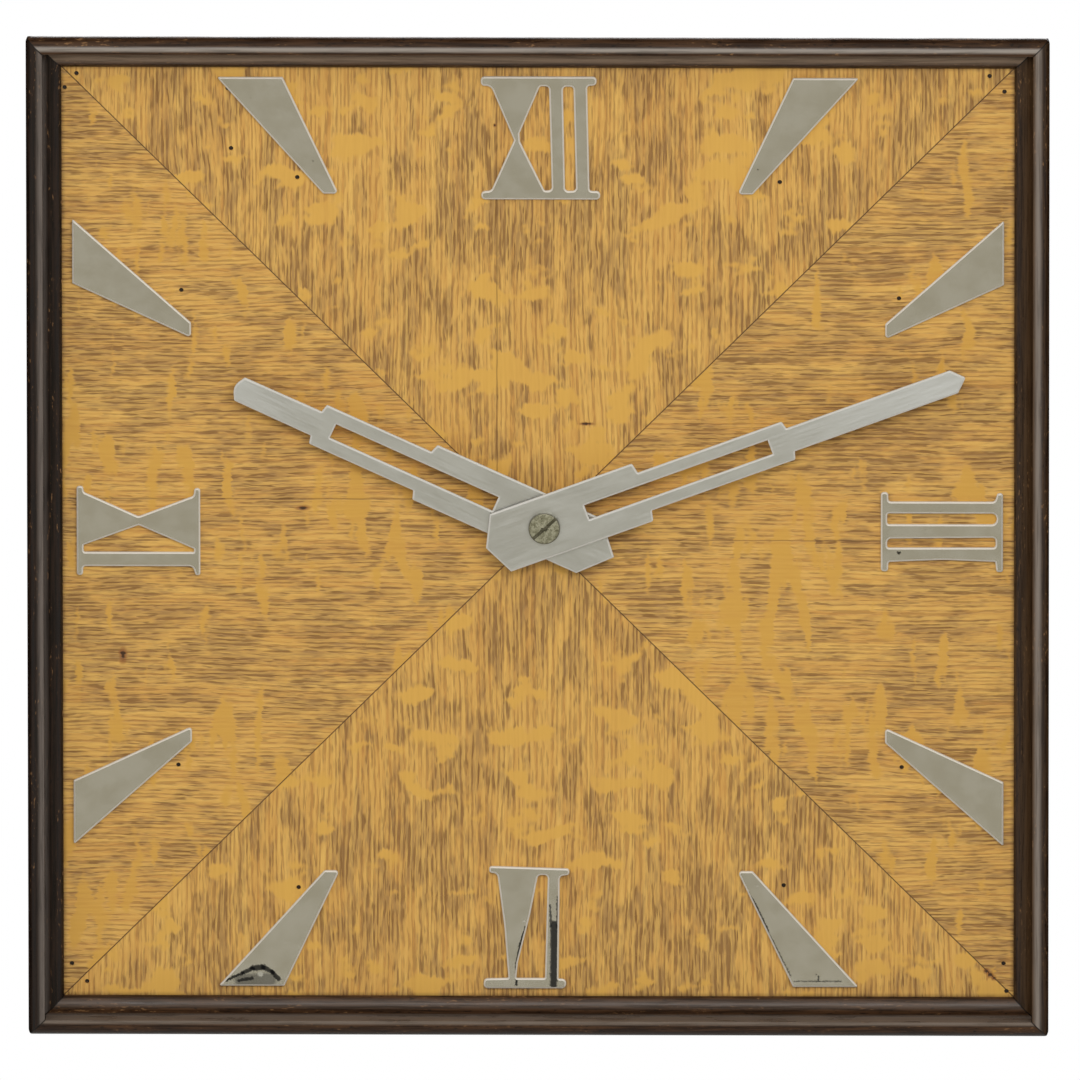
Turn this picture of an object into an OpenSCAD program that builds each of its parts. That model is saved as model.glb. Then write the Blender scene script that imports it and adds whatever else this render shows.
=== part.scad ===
// Square wall clock with a synchronous motor: an oak dial in a dark moulded frame, a shallow
// box case behind it, plated hour plates, two skeleton hands and a plated brass movement.
// Millimetres. X runs to the right and Z up as the clock hangs; the wall is the plane Y = 0
// and the dial faces -Y. The origin is the middle of the back of the case.

/* [Case and frame] */
// Outside width and height of the square frame
frame_size = 405; // [390:1:430]
// Width of the frame moulding as seen from the front
rail_face = 13.9; // [13.5:0.1:15]
// Width of the bead along the outer edge of the moulding
bead_wide = 6.5; // [6.1:0.1:7]
// Radius of the bead's rounded front
bead_r = 5.2; // [4:0.1:5.5]
// How far the bead stands in front of the dial
bead_rise = 13.6; // [12:0.1:15]
// Height of the low hump between the bead and the dial, over the dial
hump_rise = 4; // [3:0.1:5]
// Height of the hump's edge at the dial, over the dial
lip_rise = 1; // [0.5:0.1:1.5]
// Radius of the frame's four outer corners
corner_r = 2.4; // [1:0.1:3]
// How far the case sides are set in from the outside of the frame
case_inset = 18; // [16:0.5:18]
// Depth of the case from the wall to the back of the dial board
case_depth = 56; // [55:0.5:60]
// Thickness of the case sides
side_thick = 12; // [11:0.5:13]
// Thickness of the back boards
back_thick = 8; // [7:0.5:8]
// Width of the middle back board, and of the opening in it for reaching the knobs
middle_wide = 64; // [60:1:68]

/* [Dial] */
// Thickness of the plywood board that carries the dial
dial_board_thick = 8; // [7:0.5:9]
// Thickness of the oak veneer
veneer_thick = 1.2; // [0.9:0.1:1.5]
// Width of the dial's edge that the moulding covers
rebate = 6.2; // [5:0.1:6.5]
// How far the spindle sits to the right of the dial's middle
spindle_x = 2.5; // [0:0.1:3]
// How far the spindle sits above the dial's middle
spindle_z = 4; // [0:0.1:4]

/* [Hour plates] */
// Thickness of the numerals and markers
plate_thick = 1.5; // [1:0.1:2]
// Distance from the dial's middle to the outer edge of the wedge markers
marker_out = 184.5; // [180:0.5:186]
// Distance from the dial's middle to the inner edge of the wedge markers
marker_in = 137.5; // [130:0.5:142]
// Width of a wedge marker at its outer edge
marker_wide = 26; // [20:0.5:30]
// Width of a wedge marker at its inner edge
marker_narrow = 6; // [4:0.5:8]
// Sideways distance from the dial's middle to the middle of a marker's outer edge
marker_out_side = 114; // [106:0.5:118]
// Sideways distance from the dial's middle to the middle of a marker's inner edge
marker_in_side = 82; // [78:0.5:86]

/* [Hands] */
// Length of the minute hand from the spindle to its tip
minute_reach = 177.7; // [170:0.1:182]
// Length of the hour hand from the spindle to its tip
hour_reach = 135.5; // [125:0.1:140]
// Thickness of both hands
hand_thick = 1.2; // [1:0.1:1.5]
// Width of the slot along each hand
slot_width = 6.1; // [5:0.1:7]
// Where the minute hand points, clockwise from twelve
minute_turn = 69.9; // [0:0.1:360]
// Where the hour hand points, clockwise from twelve
hour_turn = 294.6; // [0:0.1:360]
// Diameter of the slotted round nut that holds the hands
hand_nut_d = 12.5; // [11:0.1:14]

/* [Movement] */
// Distance from the wall to the back of the dust cover
cover_back = 16; // [15.5:0.1:16.5]
// Distance from the wall to the back of the rear plate
rear_plate_back = 30; // [29.8:0.1:30.2]
// Thickness of the rear plate
rear_plate_thick = 1.6; // [1.4:0.1:1.7]
// Thickness of the front plate
front_plate_thick = 2; // [1.5:0.1:2]
// Diameter of the setting knob
set_knob_d = 12; // [10:0.5:14]
// Diameter of the starting knob
start_knob_d = 14; // [12:0.5:15]

/* [Fastenings] */
// Diameter of the round entry of the keyhole in the hanger plate
keyhole_d = 9; // [8:0.5:10]
// Diameter of the hole through the cable grommet
cable_hole_d = 6.4; // [5.5:0.1:7]
// Diameter of the wood screws' heads
wood_screw_head_d = 4.6; // [4:0.1:5]

/* [Hidden] */
$fn = 48;

// Depths are distances from the wall toward the viewer.
half = frame_size / 2;
opening = half - rail_face;
veneer_half = opening + rebate;
dial_face = case_depth + dial_board_thick + veneer_thick;
bead_front = dial_face + bead_rise;
case_half = half - case_inset;
case_in = case_half - side_thick;
back_half = case_in + 7;
front_plate_back = case_depth - front_plate_thick;
rear_plate_front = rear_plate_back + rear_plate_thick;
hair = 0.01;

// Places of the arbors, seen from the front and measured from the spindle.
function polar(distance, angle) = distance * [cos(angle), sin(angle)];
train_module = 0.4;
big_teeth = 96;
wheel_teeth = 80;
pinion_teeth = 8;
centre_to_third = -25;
third_to_fourth = -100;
fourth_to_fifth = -100;
fifth_to_rotor = -150;
third_at = polar(train_module * (big_teeth + pinion_teeth) / 2, centre_to_third);
train_step = train_module * (wheel_teeth + pinion_teeth) / 2;
fourth_at = third_at + polar(train_step, third_to_fourth);
fifth_at = fourth_at + polar(train_step, fourth_to_fifth);
rotor_at = fifth_at + polar(train_step, fifth_to_rotor);

// The minute wheel turns with the cannon pinion and the setting pinion, its own pinion with the
// hour wheel, both at the same distance from the spindle.
minute_module = 0.6;
minute_wheel_teeth = 36;
cannon_teeth = 12;
motion_step = minute_module * (minute_wheel_teeth + cannon_teeth) / 2;
hour_wheel_teeth = 40;
minute_pinion_teeth = 10;
hour_module = 2 * motion_step / (hour_wheel_teeth + minute_pinion_teeth);
minute_angle = 220;
set_angle = minute_angle - 180 + 22 * 360 / minute_wheel_teeth;
minute_at = polar(motion_step, minute_angle);
set_at = minute_at + polar(motion_step, set_angle);

// Depths of the wheels, back face of each.
fifth_depth = 33;
fourth_depth = 36;
third_depth = 39;
centre_depth = 42;
wheel_thick = 1;
pinion_over = 0.6;
minute_depth = 44.6;
minute_thick = 1.6;
hour_depth = 47.4;
hour_thick = 1.6;

// Radii on the spindle's axis, from the inside out.
pivot_r = 0.5;
pivot_gap = 0.05;
arbor_r = 0.8;
centre_arbor_r = 1.2;
cannon_bore_r = 1.25;
cannon_pipe_r = 2.2;
hour_bore_r = 2.28;
hour_pipe_r = 3.2;
bush_bore_r = 3.28;
bush_r = 5;

hour_hand_back = dial_face + 5.4;
minute_hand_back = hour_hand_back + 2.6;
bush_front = dial_face + 4.2;

// Movement plates, measured from the spindle.
plate_left = -34;
plate_right = 46;
plate_low = -84;
plate_high = 24;
pillar_in = 6;
pillar_places = [
  for (x = [plate_left + pillar_in, plate_right - pillar_in])
    for (y = [plate_low + pillar_in, plate_high - pillar_in]) [x, y]
];

// Motor
pole_count = 30;
rotor_r = 15;
stator_bore_r = 15.6;
stator_ring_r = 22;
stator_depth = 20;
stator_thick = 6;
core_x = 32.5;
core_wide = 7;
arm_out = 17;
coil_half = 9.7;
post_x = 22;

// Back openings, hanger and cable entry
access_low = -70;
access_high = -6;
tongue_long = 3;
tongue_thick = 2.4;
board_gap = 0.2;
hanger_z = 158;
hanger_wide = middle_wide + 16;
hanger_low = 150;
hanger_thick = 1.6;
keyhole_rise = 7;
keyhole_slot = 4.6;
wood_screw_r = 1.3;
wood_screw_long = 20;
short_screw_long = 7;
cable_x = 60;
cable_depth = 22;
grommet_r = 6;
grommet_rim_r = 8.5;
grommet_rim = 1.5;
terminal_x = 30;

wood_dark = [0.17, 0.12, 0.09];
wood_golden = [0.78, 0.6, 0.3];
plywood_pale = [0.76, 0.64, 0.45];
pine_brown = [0.5, 0.36, 0.22];
chrome_grey = [0.72, 0.71, 0.68];
brass_yellow = [0.78, 0.63, 0.3];
steel_grey = [0.55, 0.56, 0.58];

// Turns a drawing in the plane of the dial, with its height toward the viewer, upright.
module facing() rotate([90, 0, 0]) children();

module at_spindle() translate([spindle_x, spindle_z, 0]) children();

module slab(from, to) translate([0, 0, from]) linear_extrude(to - from) children();

module rod(at, r, from, to) translate([at[0], at[1], from]) cylinder(r = r, h = to - from);

module box(low, high) translate(low) cube(high - low);

module square_about(half_side) square(2 * half_side, center = true);

module hexagon(r) polygon([for (i = [0:5]) polar(r, 60 * i)]);

// Corner points [x, y, radius] to an outline whose corners are arcs of those radii.
arc_steps = 3;
function unit(v) = v / norm(v);
function corner(before, at, after) =
  let (p = [at[0], at[1]], u = unit([before[0], before[1]] - p), v = unit([after[0], after[1]] - p))
  let (half_angle = acos(max(-1, min(1, u * v))) / 2)
  at[2] == 0 || half_angle > 89 ? [p]
  : let (middle = p + unit(u + v) * at[2] / sin(half_angle))
    let (start = p + u * at[2] / tan(half_angle) - middle, end = p + v * at[2] / tan(half_angle) - middle)
    let (from = atan2(start[1], start[0]), turn = atan2(start[0] * end[1] - start[1] * end[0], start * end))
    [for (k = [0:arc_steps]) middle + polar(at[2], from + turn * k / arc_steps)];
function rounded(corners) = let (n = len(corners)) [
  for (i = [0:n - 1]) each corner(corners[(i + n - 1) % n], corners[i], corners[(i + 1) % n])
];

// Tooth outline: each tooth is given by its half widths, as shares of the pitch, at the root,
// the pitch line and the tip. The backlash keeps meshing teeth apart at every angle.
function gear_points(teeth, size, up, down, root, mid, tip) = let (r = teeth * size / 2) [
  for (i = [0:teeth - 1], p = [[-root, -down], [-mid, 0], [-tip, up], [tip, up], [mid, 0], [root, -down]])
    polar(r + p[1] * size, (i + p[0]) * 360 / teeth)
];
function wheel_points(teeth, size) = gear_points(teeth, size, 0.8, 1.2, 0.25, 0.21, 0.07);
function pinion_points(teeth, size) = gear_points(teeth, size, 0.5, 1.3, 0.2, 0.2, 0.08);

// A wheel with five crossings and one tooth pointing along an angle.
module crossed_wheel(teeth, size, toward, bore_r) {
  rim_r = teeth * size / 2 - 2.6 * size - 0.8;
  hub_r = bore_r + 2.2;
  rotate(toward) difference() {
    polygon(wheel_points(teeth, size));
    circle(r = bore_r);
    difference() {
      circle(r = rim_r);
      circle(r = hub_r);
      for (i = [0:4]) rotate(72 * i + 36) translate([0, -0.9]) square([rim_r + 1, 1.8]);
    }
  }
}

// A pinion with a gap between leaves pointing along an angle.
module leaf_pinion(teeth, size, toward) rotate(toward + 180 / teeth) polygon(pinion_points(teeth, size));

// A wheel riveted on its pinion's arbor, between the plates.
module train_wheel(at, depth, from_angle, to_angle) {
  translate(at) {
    slab(depth, depth + wheel_thick) crossed_wheel(wheel_teeth, train_module, to_angle, arbor_r - hair);
    rod([0, 0], 1.9, depth - 0.6, depth + wheel_thick + 0.8);
    slab(depth + 2.4, depth + 4 + pinion_over) leaf_pinion(pinion_teeth, train_module, from_angle);
    rod([0, 0], arbor_r, rear_plate_front + 0.1, front_plate_back - 0.1);
    rod([0, 0], pivot_r, rear_plate_back + 0.1, case_depth - 0.2);
  }
}

// Frame moulding, seen end on: x is the distance from the dial's middle, y the depth.
side_slope = 4.2;
crest_share = 0.63;
module moulding() {
  bead_in = half - bead_wide;
  bead_at = [half - bead_r, bead_front - bead_r];
  hump_wide = rail_face - bead_wide;
  crest = crest_share * hump_wide;
  climb = hump_rise - lip_rise;
  hump_r = (crest * crest + climb * climb) / (2 * climb);
  polygon([
    [veneer_half, case_depth], [half - side_slope, case_depth], [half, bead_at[1]],
    [bead_in, bead_at[1]], [bead_in, dial_face + lip_rise], [opening, dial_face + lip_rise],
    [opening, dial_face], [veneer_half, dial_face]
  ]);
  intersection() {
    translate(bead_at) circle(r = bead_r);
    translate([bead_in, bead_at[1] - hair]) square([bead_wide, bead_r + 1]);
  }
  intersection() {
    translate([opening + crest, dial_face + hump_rise - hump_r]) circle(r = hump_r);
    translate([opening, dial_face + lip_rise - hair]) square([hump_wide, hump_rise]);
  }
}

module rail(turn) facing() rotate(turn) intersection() {
  translate([-half, 0, 0]) rotate([90, 0, 90]) linear_extrude(frame_size) moulding();
  slab(0, bead_front + 1) polygon([[0, 0], [half, half], [-half, half]]);
  slab(0, bead_front + 1) rounded_square(half, corner_r);
}

module rounded_square(half_side, r) {
  square([2 * half_side, 2 * (half_side - r)], center = true);
  square([2 * (half_side - r), 2 * half_side], center = true);
  for (x = [-1, 1], y = [-1, 1]) translate((half_side - r) * [x, y]) circle(r = r);
}

module frame_top_rail() color(wood_dark) rail(0);
module frame_left_rail() color(wood_dark) rail(90);
module frame_bottom_rail() color(wood_dark) rail(180);
module frame_right_rail() color(wood_dark) rail(270);

module dial_board() color(plywood_pale) facing() difference() {
  slab(case_depth, case_depth + dial_board_thick) square_about(veneer_half);
  at_spindle() rod([0, 0], bush_r + 0.2, case_depth - 1, dial_face);
  for (p = pin_places) rod(p, pin_r, pin_back, dial_face);
}

module veneer(turn) color(wood_golden) facing() difference() {
  slab(case_depth + dial_board_thick, dial_face)
    rotate(turn) polygon([[0, 0], [veneer_half, veneer_half], [-veneer_half, veneer_half]]);
  at_spindle() rod([0, 0], bush_r + 0.2, case_depth, dial_face + 1);
  for (p = pin_places) rod(p, pin_r, case_depth, dial_face + 1);
  for (p = brad_places) rod(p, brad_r, case_depth, dial_face + 1);
}
module dial_veneer_top() veneer(0);
module dial_veneer_left() veneer(90);
module dial_veneer_bottom() veneer(180);
module dial_veneer_right() veneer(270);

// Holes left by brads near the dial's corners and beside the markers.
brad_r = 0.9;
brad_places = [
  [-182.6, 185.7], [-187.3, 180], [178.7, 185.3], [184.6, 179], [-185.4, -175.8], [-179.4, -183.1],
  [184.6, -175], [185.8, -186.3], [-95.3, 143.8], [95.7, 142.2], [-95.3, -144.6], [97.3, -143.4],
  [144.1, -95.2], [-142.9, -94.8], [-141.3, 98], [142.9, 95.2], [-122.7, 179.8], [-121.5, 155.5]
];

// Small wood screws: along the edge of the back, and at the corners of the hanger plate.
screw_line = case_in + 3.4;
hanger_screw_x = hanger_wide / 2 - 4;
hanger_screw_places = [for (x = [-1, 1] * hanger_screw_x) [x, screw_line]];
short_screw_places = [for (x = [-1, 1] * hanger_screw_x) [x, hanger_low + 4.5]];
screw_places = concat(hanger_screw_places, [[0, -screw_line]], [
  for (s = [-1, 1], t = [-110, 110]) each [[s * screw_line, t], [t, s * screw_line]]
]);

module wood_screw(at, long) {
  head_r = wood_screw_head_d / 2;
  rod(at, wood_screw_r, 0.2, long);
  translate(at) cylinder(r1 = head_r, r2 = wood_screw_r, h = head_r - wood_screw_r + 0.3);
}
module all_wood_screws() {
  for (p = screw_places) wood_screw(p, wood_screw_long);
  for (p = short_screw_places) wood_screw(p, short_screw_long);
}
module wood_screws() color(brass_yellow) facing() difference() {
  all_wood_screws();
  for (p = concat(screw_places, short_screw_places))
    translate(p) rotate(25 + 40 * sign(p[0])) cube([6, 0.7, 1], center = true);
}

module case_side_blank(turn, reach) rotate(turn) difference() {
  box([-reach, case_in, 0], [reach, case_half, case_depth]);
  box([-back_half, case_in - 1, -1], [back_half, back_half, back_thick]);
}
module case_side(turn, reach) color(pine_brown) facing() difference() {
  case_side_blank(turn, reach);
  all_wood_screws();
  if (turn == 180) rod_up([cable_x, cable_depth], grommet_r, -case_half - 1, -case_in + 1);
}
// A rod along the height of the clock, at [x, depth].
module rod_up(at, r, low, high)
  translate([at[0], low, at[1]]) rotate([-90, 0, 0]) cylinder(r = r, h = high - low);

module case_top() case_side(0, case_half);
module case_bottom() case_side(180, case_half);
module case_left() case_side(90, case_in);
module case_right() case_side(270, case_in);

// Back boards: one at each side and a middle one in two lengths, tongued into them. The gap
// above is for the hanger, and the one between is for reaching the knobs.
module back_boards() color(plywood_pale) facing() difference() {
  side_in = middle_wide / 2 + board_gap;
  tongue_at = (back_thick - tongue_thick) / 2;
  union() {
    for (turn = [0, 180]) difference() {
      rotate(turn) box([side_in, -back_half, 0], [back_half, back_half, back_thick]);
      slab(tongue_at - board_gap, tongue_at + tongue_thick + board_gap)
        square([2 * (side_in + tongue_long), 3 * back_half], center = true);
    }
    for (z = [[-back_half, access_low], [access_high, hanger_low]]) {
      box([-middle_wide / 2, z[0], 0], [middle_wide / 2, z[1], back_thick]);
      box([-side_in - tongue_long + board_gap, z[0], tongue_at],
          [side_in + tongue_long - board_gap, z[1], tongue_at + tongue_thick]);
    }
  }
  box([-hanger_wide / 2, hanger_low, -1], [hanger_wide / 2, back_half + 1, hanger_thick]);
  all_wood_screws();
}

// Plate across the gap above the middle board, with the keyhole that the clock hangs by.
module hanger_plate() color(brass_yellow) facing() difference() {
  box([-hanger_wide / 2, hanger_low, 0], [hanger_wide / 2, back_half, hanger_thick]);
  rod([0, hanger_z], keyhole_d / 2, -1, hanger_thick + 1);
  rod([0, hanger_z + keyhole_rise], keyhole_slot / 2, -1, hanger_thick + 1);
  box([-keyhole_slot / 2, hanger_z, -1], [keyhole_slot / 2, hanger_z + keyhole_rise, hanger_thick + 1]);
  all_wood_screws();
}

module cable_grommet() color([0.12, 0.12, 0.12]) facing() difference() {
  union() {
    rod_up([cable_x, cable_depth], grommet_r, -case_half - grommet_rim, -case_in + grommet_rim);
    rod_up([cable_x, cable_depth], grommet_rim_r, -case_half - grommet_rim, -case_half);
    rod_up([cable_x, cable_depth], grommet_rim_r, -case_in, -case_in + grommet_rim);
  }
  rod_up([cable_x, cable_depth], cable_hole_d / 2, -case_half - 2 * grommet_rim, -case_in + 2 * grommet_rim);
}

// Terminal block on the floor of the case, with four clamp screws.
block_high = 14;
terminal_places = [for (x = [-6, 6], d = [-6, 6]) [terminal_x + x, cable_depth + d]];
module terminal_block() color([0.25, 0.13, 0.08]) facing() difference() {
  translate([terminal_x, -case_in + block_high / 2, cable_depth]) cube([24, block_high, 22], center = true);
  for (p = terminal_places) rod_up(p, screw_r, -case_in + 4, -case_in + block_high + 1);
}

// Slotted machine screws, alike: four clamp the leads, four hold the dust cover.
screw_r = 1.1;
screw_long = 7;
screw_head = 1.4;
module machine_screw() difference() {
  union() {
    rod([0, 0], screw_r, -hair, screw_long);
    rod([0, 0], 2.4, -screw_head, 0);
  }
  translate([0, 0, -screw_head]) rotate(30) cube([6, 0.7, 1.2], center = true);
}
module machine_screws() color(brass_yellow) facing() {
  for (p = terminal_places) translate([p[0], -case_in + block_high, p[1]]) rotate([90, 0, 0]) machine_screw();
  at_spindle() for (p = pillar_places) translate([p[0], p[1], cover_back]) machine_screw();
}

// Two leads from the terminal block to the coil, through a hole in the dust cover's lower wall.
lead_r = 0.9;
lead_gap = 2.6;
lead_x = core_x + spindle_x;
lead_top = rotor_at[1] + spindle_z - coil_half;
lead_low = plate_low + spindle_z;
lead_depth = 20;
module wire(points) {
  for (i = [0:len(points) - 2]) {
    run = points[i + 1] - points[i];
    translate(points[i]) rotate([0, acos(run[2] / norm(run)), atan2(run[1], run[0])])
      cylinder(r = lead_r, h = norm(run), $fn = 16);
  }
  for (i = [1:len(points) - 2]) translate(points[i]) sphere(r = 1.06 * lead_r, $fn = 16);
}
module motor_leads() color([0.35, 0.28, 0.2]) facing() for (s = [-1, 1]) wire([
  [terminal_x + 6 * s, -case_in + block_high + screw_head, cable_depth + 6],
  [terminal_x + 6 * s, -case_in + 40, cable_depth + 3],
  [lead_x + lead_gap * s / 2, lead_low - 10, lead_depth],
  [lead_x + lead_gap * s / 2, lead_low + 8, lead_depth],
  [lead_x + lead_gap * s / 2, lead_low + 13, stator_depth - 2],
  [lead_x + lead_gap * s / 2, lead_top, stator_depth - 2]
]);

// Roman numerals: outlines of corner points [x, y, radius], outer one first, then the openings.
// The small differences between their strokes are those of hand-filed plates.
twelve = [
  [[-22.6, 184.9, 1.5], [23.2, 184.9, 1.5], [23.2, 181.5, 1.5], [19.5, 181.3, 1.2], [20.4, 138.7, 1],
   [24.6, 138.6, 1.5], [24.6, 135.3, 1.5], [-22.4, 135.3, 1.5], [-22.4, 138.5, 1.5], [-18.5, 138.7, 2],
   [-9.4, 159.2, 1], [-18.6, 181.2, 3], [-22.6, 181.3, 1.5]],
  [[0.8, 181.1, 1], [4.4, 181.1, 1.4], [5.5, 138.8, 1.4], [2.6, 138.8, 1], [-7.1, 158.6, 0.5],
   [-7.3, 162, 0.5]],
  [[9.9, 181, 1.4], [14.1, 181, 1.4], [15.1, 138.7, 1.4], [10.7, 138.7, 1.4]]
];
three = [
  [[135.8, 16.8, 1.2], [138.7, 16.8, 1.2], [138.8, 13, 1], [181, 13, 1.4], [182, 16.4, 0.9],
   [184.2, 16.4, 0.9], [184.2, -15.4, 0.9], [181.6, -15.4, 0.9], [181.2, -11.3, 0.6], [160, -10.5, 60],
   [138.8, -11.4, 0.8], [138.7, -15.2, 1.2], [135.8, -15.2, 1.2]],
  [[138.3, 8.3, 0.8], [181.7, 8.3, 2], [181.7, 3.8, 2], [138.3, 3.8, 0.8]],
  [[138.3, -1.9, 1.6], [181.3, -1.5, 1.4], [181.3, -5.6, 1], [138.3, -5.7, 0.8]]
];
six = [
  [[-19.6, -135.6, 1.1], [12.2, -136.6, 1.1], [12.2, -139, 1.1], [8.4, -139.5, 1.6], [7.9, -181.4, 0.4],
   [10.9, -181.6, 1.7], [10.9, -185.3, 1.8], [-21.8, -185.3, 1.6], [-21.8, -181.4, 1.6], [-12, -181.2, 0.5],
   [-13.6, -160, 60], [-16.4, -138.4, 2], [-19.6, -138.2, 1.1]],
  [[-0.2, -139.1, 1.5], [3.7, -139.1, 1.4], [2.5, -181.2, 0.4], [-8.9, -181.2, 0.4], [-8.2, -174.6, 8],
   [-3.4, -155.4, 40]]
];
nine = [
  [[-183, 18.6, 1], [-180.5, 18.6, 1], [-180.2, 16.2, 1.4], [-158.5, 6.3, 2], [-136.6, 14.7, 1.4],
   [-136.3, 17.8, 1], [-134, 17.8, 1], [-134, -17.4, 0.9], [-135.8, -17.4, 0.8], [-137, -13.8, 2],
   [-180.4, -13.8, 1], [-180.6, -17.4, 1], [-183, -17.4, 1]],
  [[-180.3, -5.2, 0.6], [-158.4, 2.9, 1], [-136.5, -6.7, 0.4], [-136.5, -8.1, 0.4], [-180.3, -8.1, 0.8]]
];
pin_r = 0.8;
pin_long = 7;
pin_back = dial_face - pin_long;
numeral_pins = [
  [-8.8, 172], [-8, 147], [7.6, 160], [145, 10.6], [175, 10.6], [160, 1], [-8, -148], [-11, -172],
  [5.6, -160], [-171, 5.5], [-145, 4.5], [-158, -11]
];
marker_pins = [for (s = [0.25, 0.7])
  [marker_in_side + (marker_out_side - marker_in_side) * s, marker_in + (marker_out - marker_in) * s]];
pin_places = concat(numeral_pins, [
  for (p = marker_pins, sx = [-1, 1], sy = [-1, 1]) each [[sx * p[0], sy * p[1]], [sx * p[1], sy * p[0]]]
]);

module plate(outlines) color(chrome_grey) facing() slab(dial_face, dial_face + plate_thick) difference() {
  polygon(rounded(outlines[0]));
  for (i = [1:1:len(outlines) - 1]) polygon(rounded(outlines[i]));
}
module numeral_twelve() plate(twelve);
module numeral_three() plate(three);
module numeral_six() plate(six);
module numeral_nine() plate(nine);

// A wedge marker beside twelve or six, or on its side beside three or nine.
module marker(right, up, sideways) {
  corners = [
    [marker_out_side - marker_wide / 2, marker_out], [marker_out_side + marker_wide / 2, marker_out],
    [marker_in_side + marker_narrow / 2, marker_in], [marker_in_side - marker_narrow / 2, marker_in]
  ];
  plate([[for (c = corners) sideways ? [right * c[1], up * c[0], 0.4] : [right * c[0], up * c[1], 0.4]]]);
}
module marker_one() marker(1, 1, false);
module marker_two() marker(1, 1, true);
module marker_four() marker(1, -1, true);
module marker_five() marker(1, -1, false);
module marker_seven() marker(-1, -1, false);
module marker_eight() marker(-1, -1, true);
module marker_ten() marker(-1, 1, true);
module marker_eleven() marker(-1, 1, false);

module dial_pins() color(steel_grey) facing() for (p = pin_places) rod(p, pin_r, pin_back, dial_face);

// A hand lying along +X: corner points [along, across, radius] of its upper half, tip last.
function below(p) = [p[0], -p[1], p[2]];
function both_sides(upper) = concat(upper, [for (i = [len(upper) - 2:-1:1]) below(upper[i])]);
minute_edge = [
  [-24.6, 0, 0.3], [-18.5, 12.35, 0.3], [41.5, 12.35, 1], [42.4, 8.1, 0.5], [103, 8.1, 0.8],
  [103.9, 4.9, 0.4], [minute_reach - 4.9, 4.8, 0.6], [minute_reach, 0, 0.8]
];
hour_edge = [
  [-30.3, 0, 0.3], [-19.4, 12.1, 0.3], [52, 12.1, 0.8], [53.2, 8.6, 0.4], [98.6, 8.6, 0.8], [99.4, 5.3, 0.4],
  [hour_reach - 2.7, 5.1, 1], [hour_reach, 0, 5]
];
minute_slot = [17.9, 95.3];
hour_slot = [21.3, 92.1];

module hand(edge, slot, turn, back, bore_r) color(chrome_grey) facing() at_spindle() rotate(90 - turn)
  slab(back, back + hand_thick) difference() {
    polygon(rounded(both_sides(edge)));
    translate([slot[0], -slot_width / 2]) square([slot[1] - slot[0], slot_width]);
    circle(r = bore_r);
  }
module hour_hand() hand(hour_edge, hour_slot, hour_turn, hour_hand_back, hour_pipe_r);
module minute_hand() hand(minute_edge, minute_slot, minute_turn, minute_hand_back, tip_r);

tip_r = 1.6;
tip_front = minute_hand_back + hand_thick + 1.6;
nut_thick = 3;
module hand_nut() color(steel_grey) facing() at_spindle() difference() {
  rod([0, 0], hand_nut_d / 2, minute_hand_back + hand_thick, minute_hand_back + hand_thick + nut_thick);
  rod([0, 0], tip_r, 0, tip_front);
  translate([0, 0, minute_hand_back + hand_thick + nut_thick]) rotate(42) cube([20, 1.1, 1.6], center = true);
}

// Cannon pinion: leaves behind, a pipe through the hour pipe, and a spigot for the minute hand.
module cannon_pinion() color(brass_yellow) facing() at_spindle() difference() {
  union() {
    slab(minute_depth, minute_depth + minute_thick) leaf_pinion(cannon_teeth, minute_module, minute_angle);
    rod([0, 0], cannon_pipe_r, minute_depth + minute_thick - hair, minute_hand_back);
    rod([0, 0], tip_r, minute_hand_back - 1, tip_front);
  }
  rod([0, 0], cannon_bore_r, minute_depth - 1, minute_hand_back - 8);
}

module hour_wheel() color(brass_yellow) facing() at_spindle() difference() {
  union() {
    slab(hour_depth, hour_depth + hour_thick)
      crossed_wheel(hour_wheel_teeth, hour_module, minute_angle, hour_bore_r);
    rod([0, 0], hour_pipe_r + 1, hour_depth, hour_depth + hour_thick + 1);
    rod([0, 0], hour_pipe_r, hour_depth, hour_hand_back + hand_thick);
  }
  rod([0, 0], hour_bore_r, hour_depth - 1, hour_hand_back + 2 * hand_thick);
}

// Minute wheel and pinion on one hub, on a stud riveted in the front plate.
stud_r = 0.9;
module minute_wheel() color(brass_yellow) facing() at_spindle() translate(minute_at) difference() {
  union() {
    slab(minute_depth, minute_depth + minute_thick)
      crossed_wheel(minute_wheel_teeth, minute_module, minute_angle + 180, stud_r);
    rod([0, 0], 2, minute_depth, hour_depth - 0.4);
    slab(hour_depth - 0.5, hour_depth + hour_thick + 0.6)
      leaf_pinion(minute_pinion_teeth, hour_module, minute_angle + 180);
  }
  rod([0, 0], stud_r + 0.05, minute_depth - 1, hour_depth + 4);
}

module plate_outline() {
  r = 3;
  translate([plate_left + r, plate_low]) square([plate_right - plate_left - 2 * r, plate_high - plate_low]);
  translate([plate_left, plate_low + r]) square([plate_right - plate_left, plate_high - plate_low - 2 * r]);
  for (x = [plate_left + r, plate_right - r], y = [plate_low + r, plate_high - r])
    translate([x, y]) circle(r = r);
}

arbor_places = [[0, 0], third_at, fourth_at, fifth_at, rotor_at, set_at];

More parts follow.
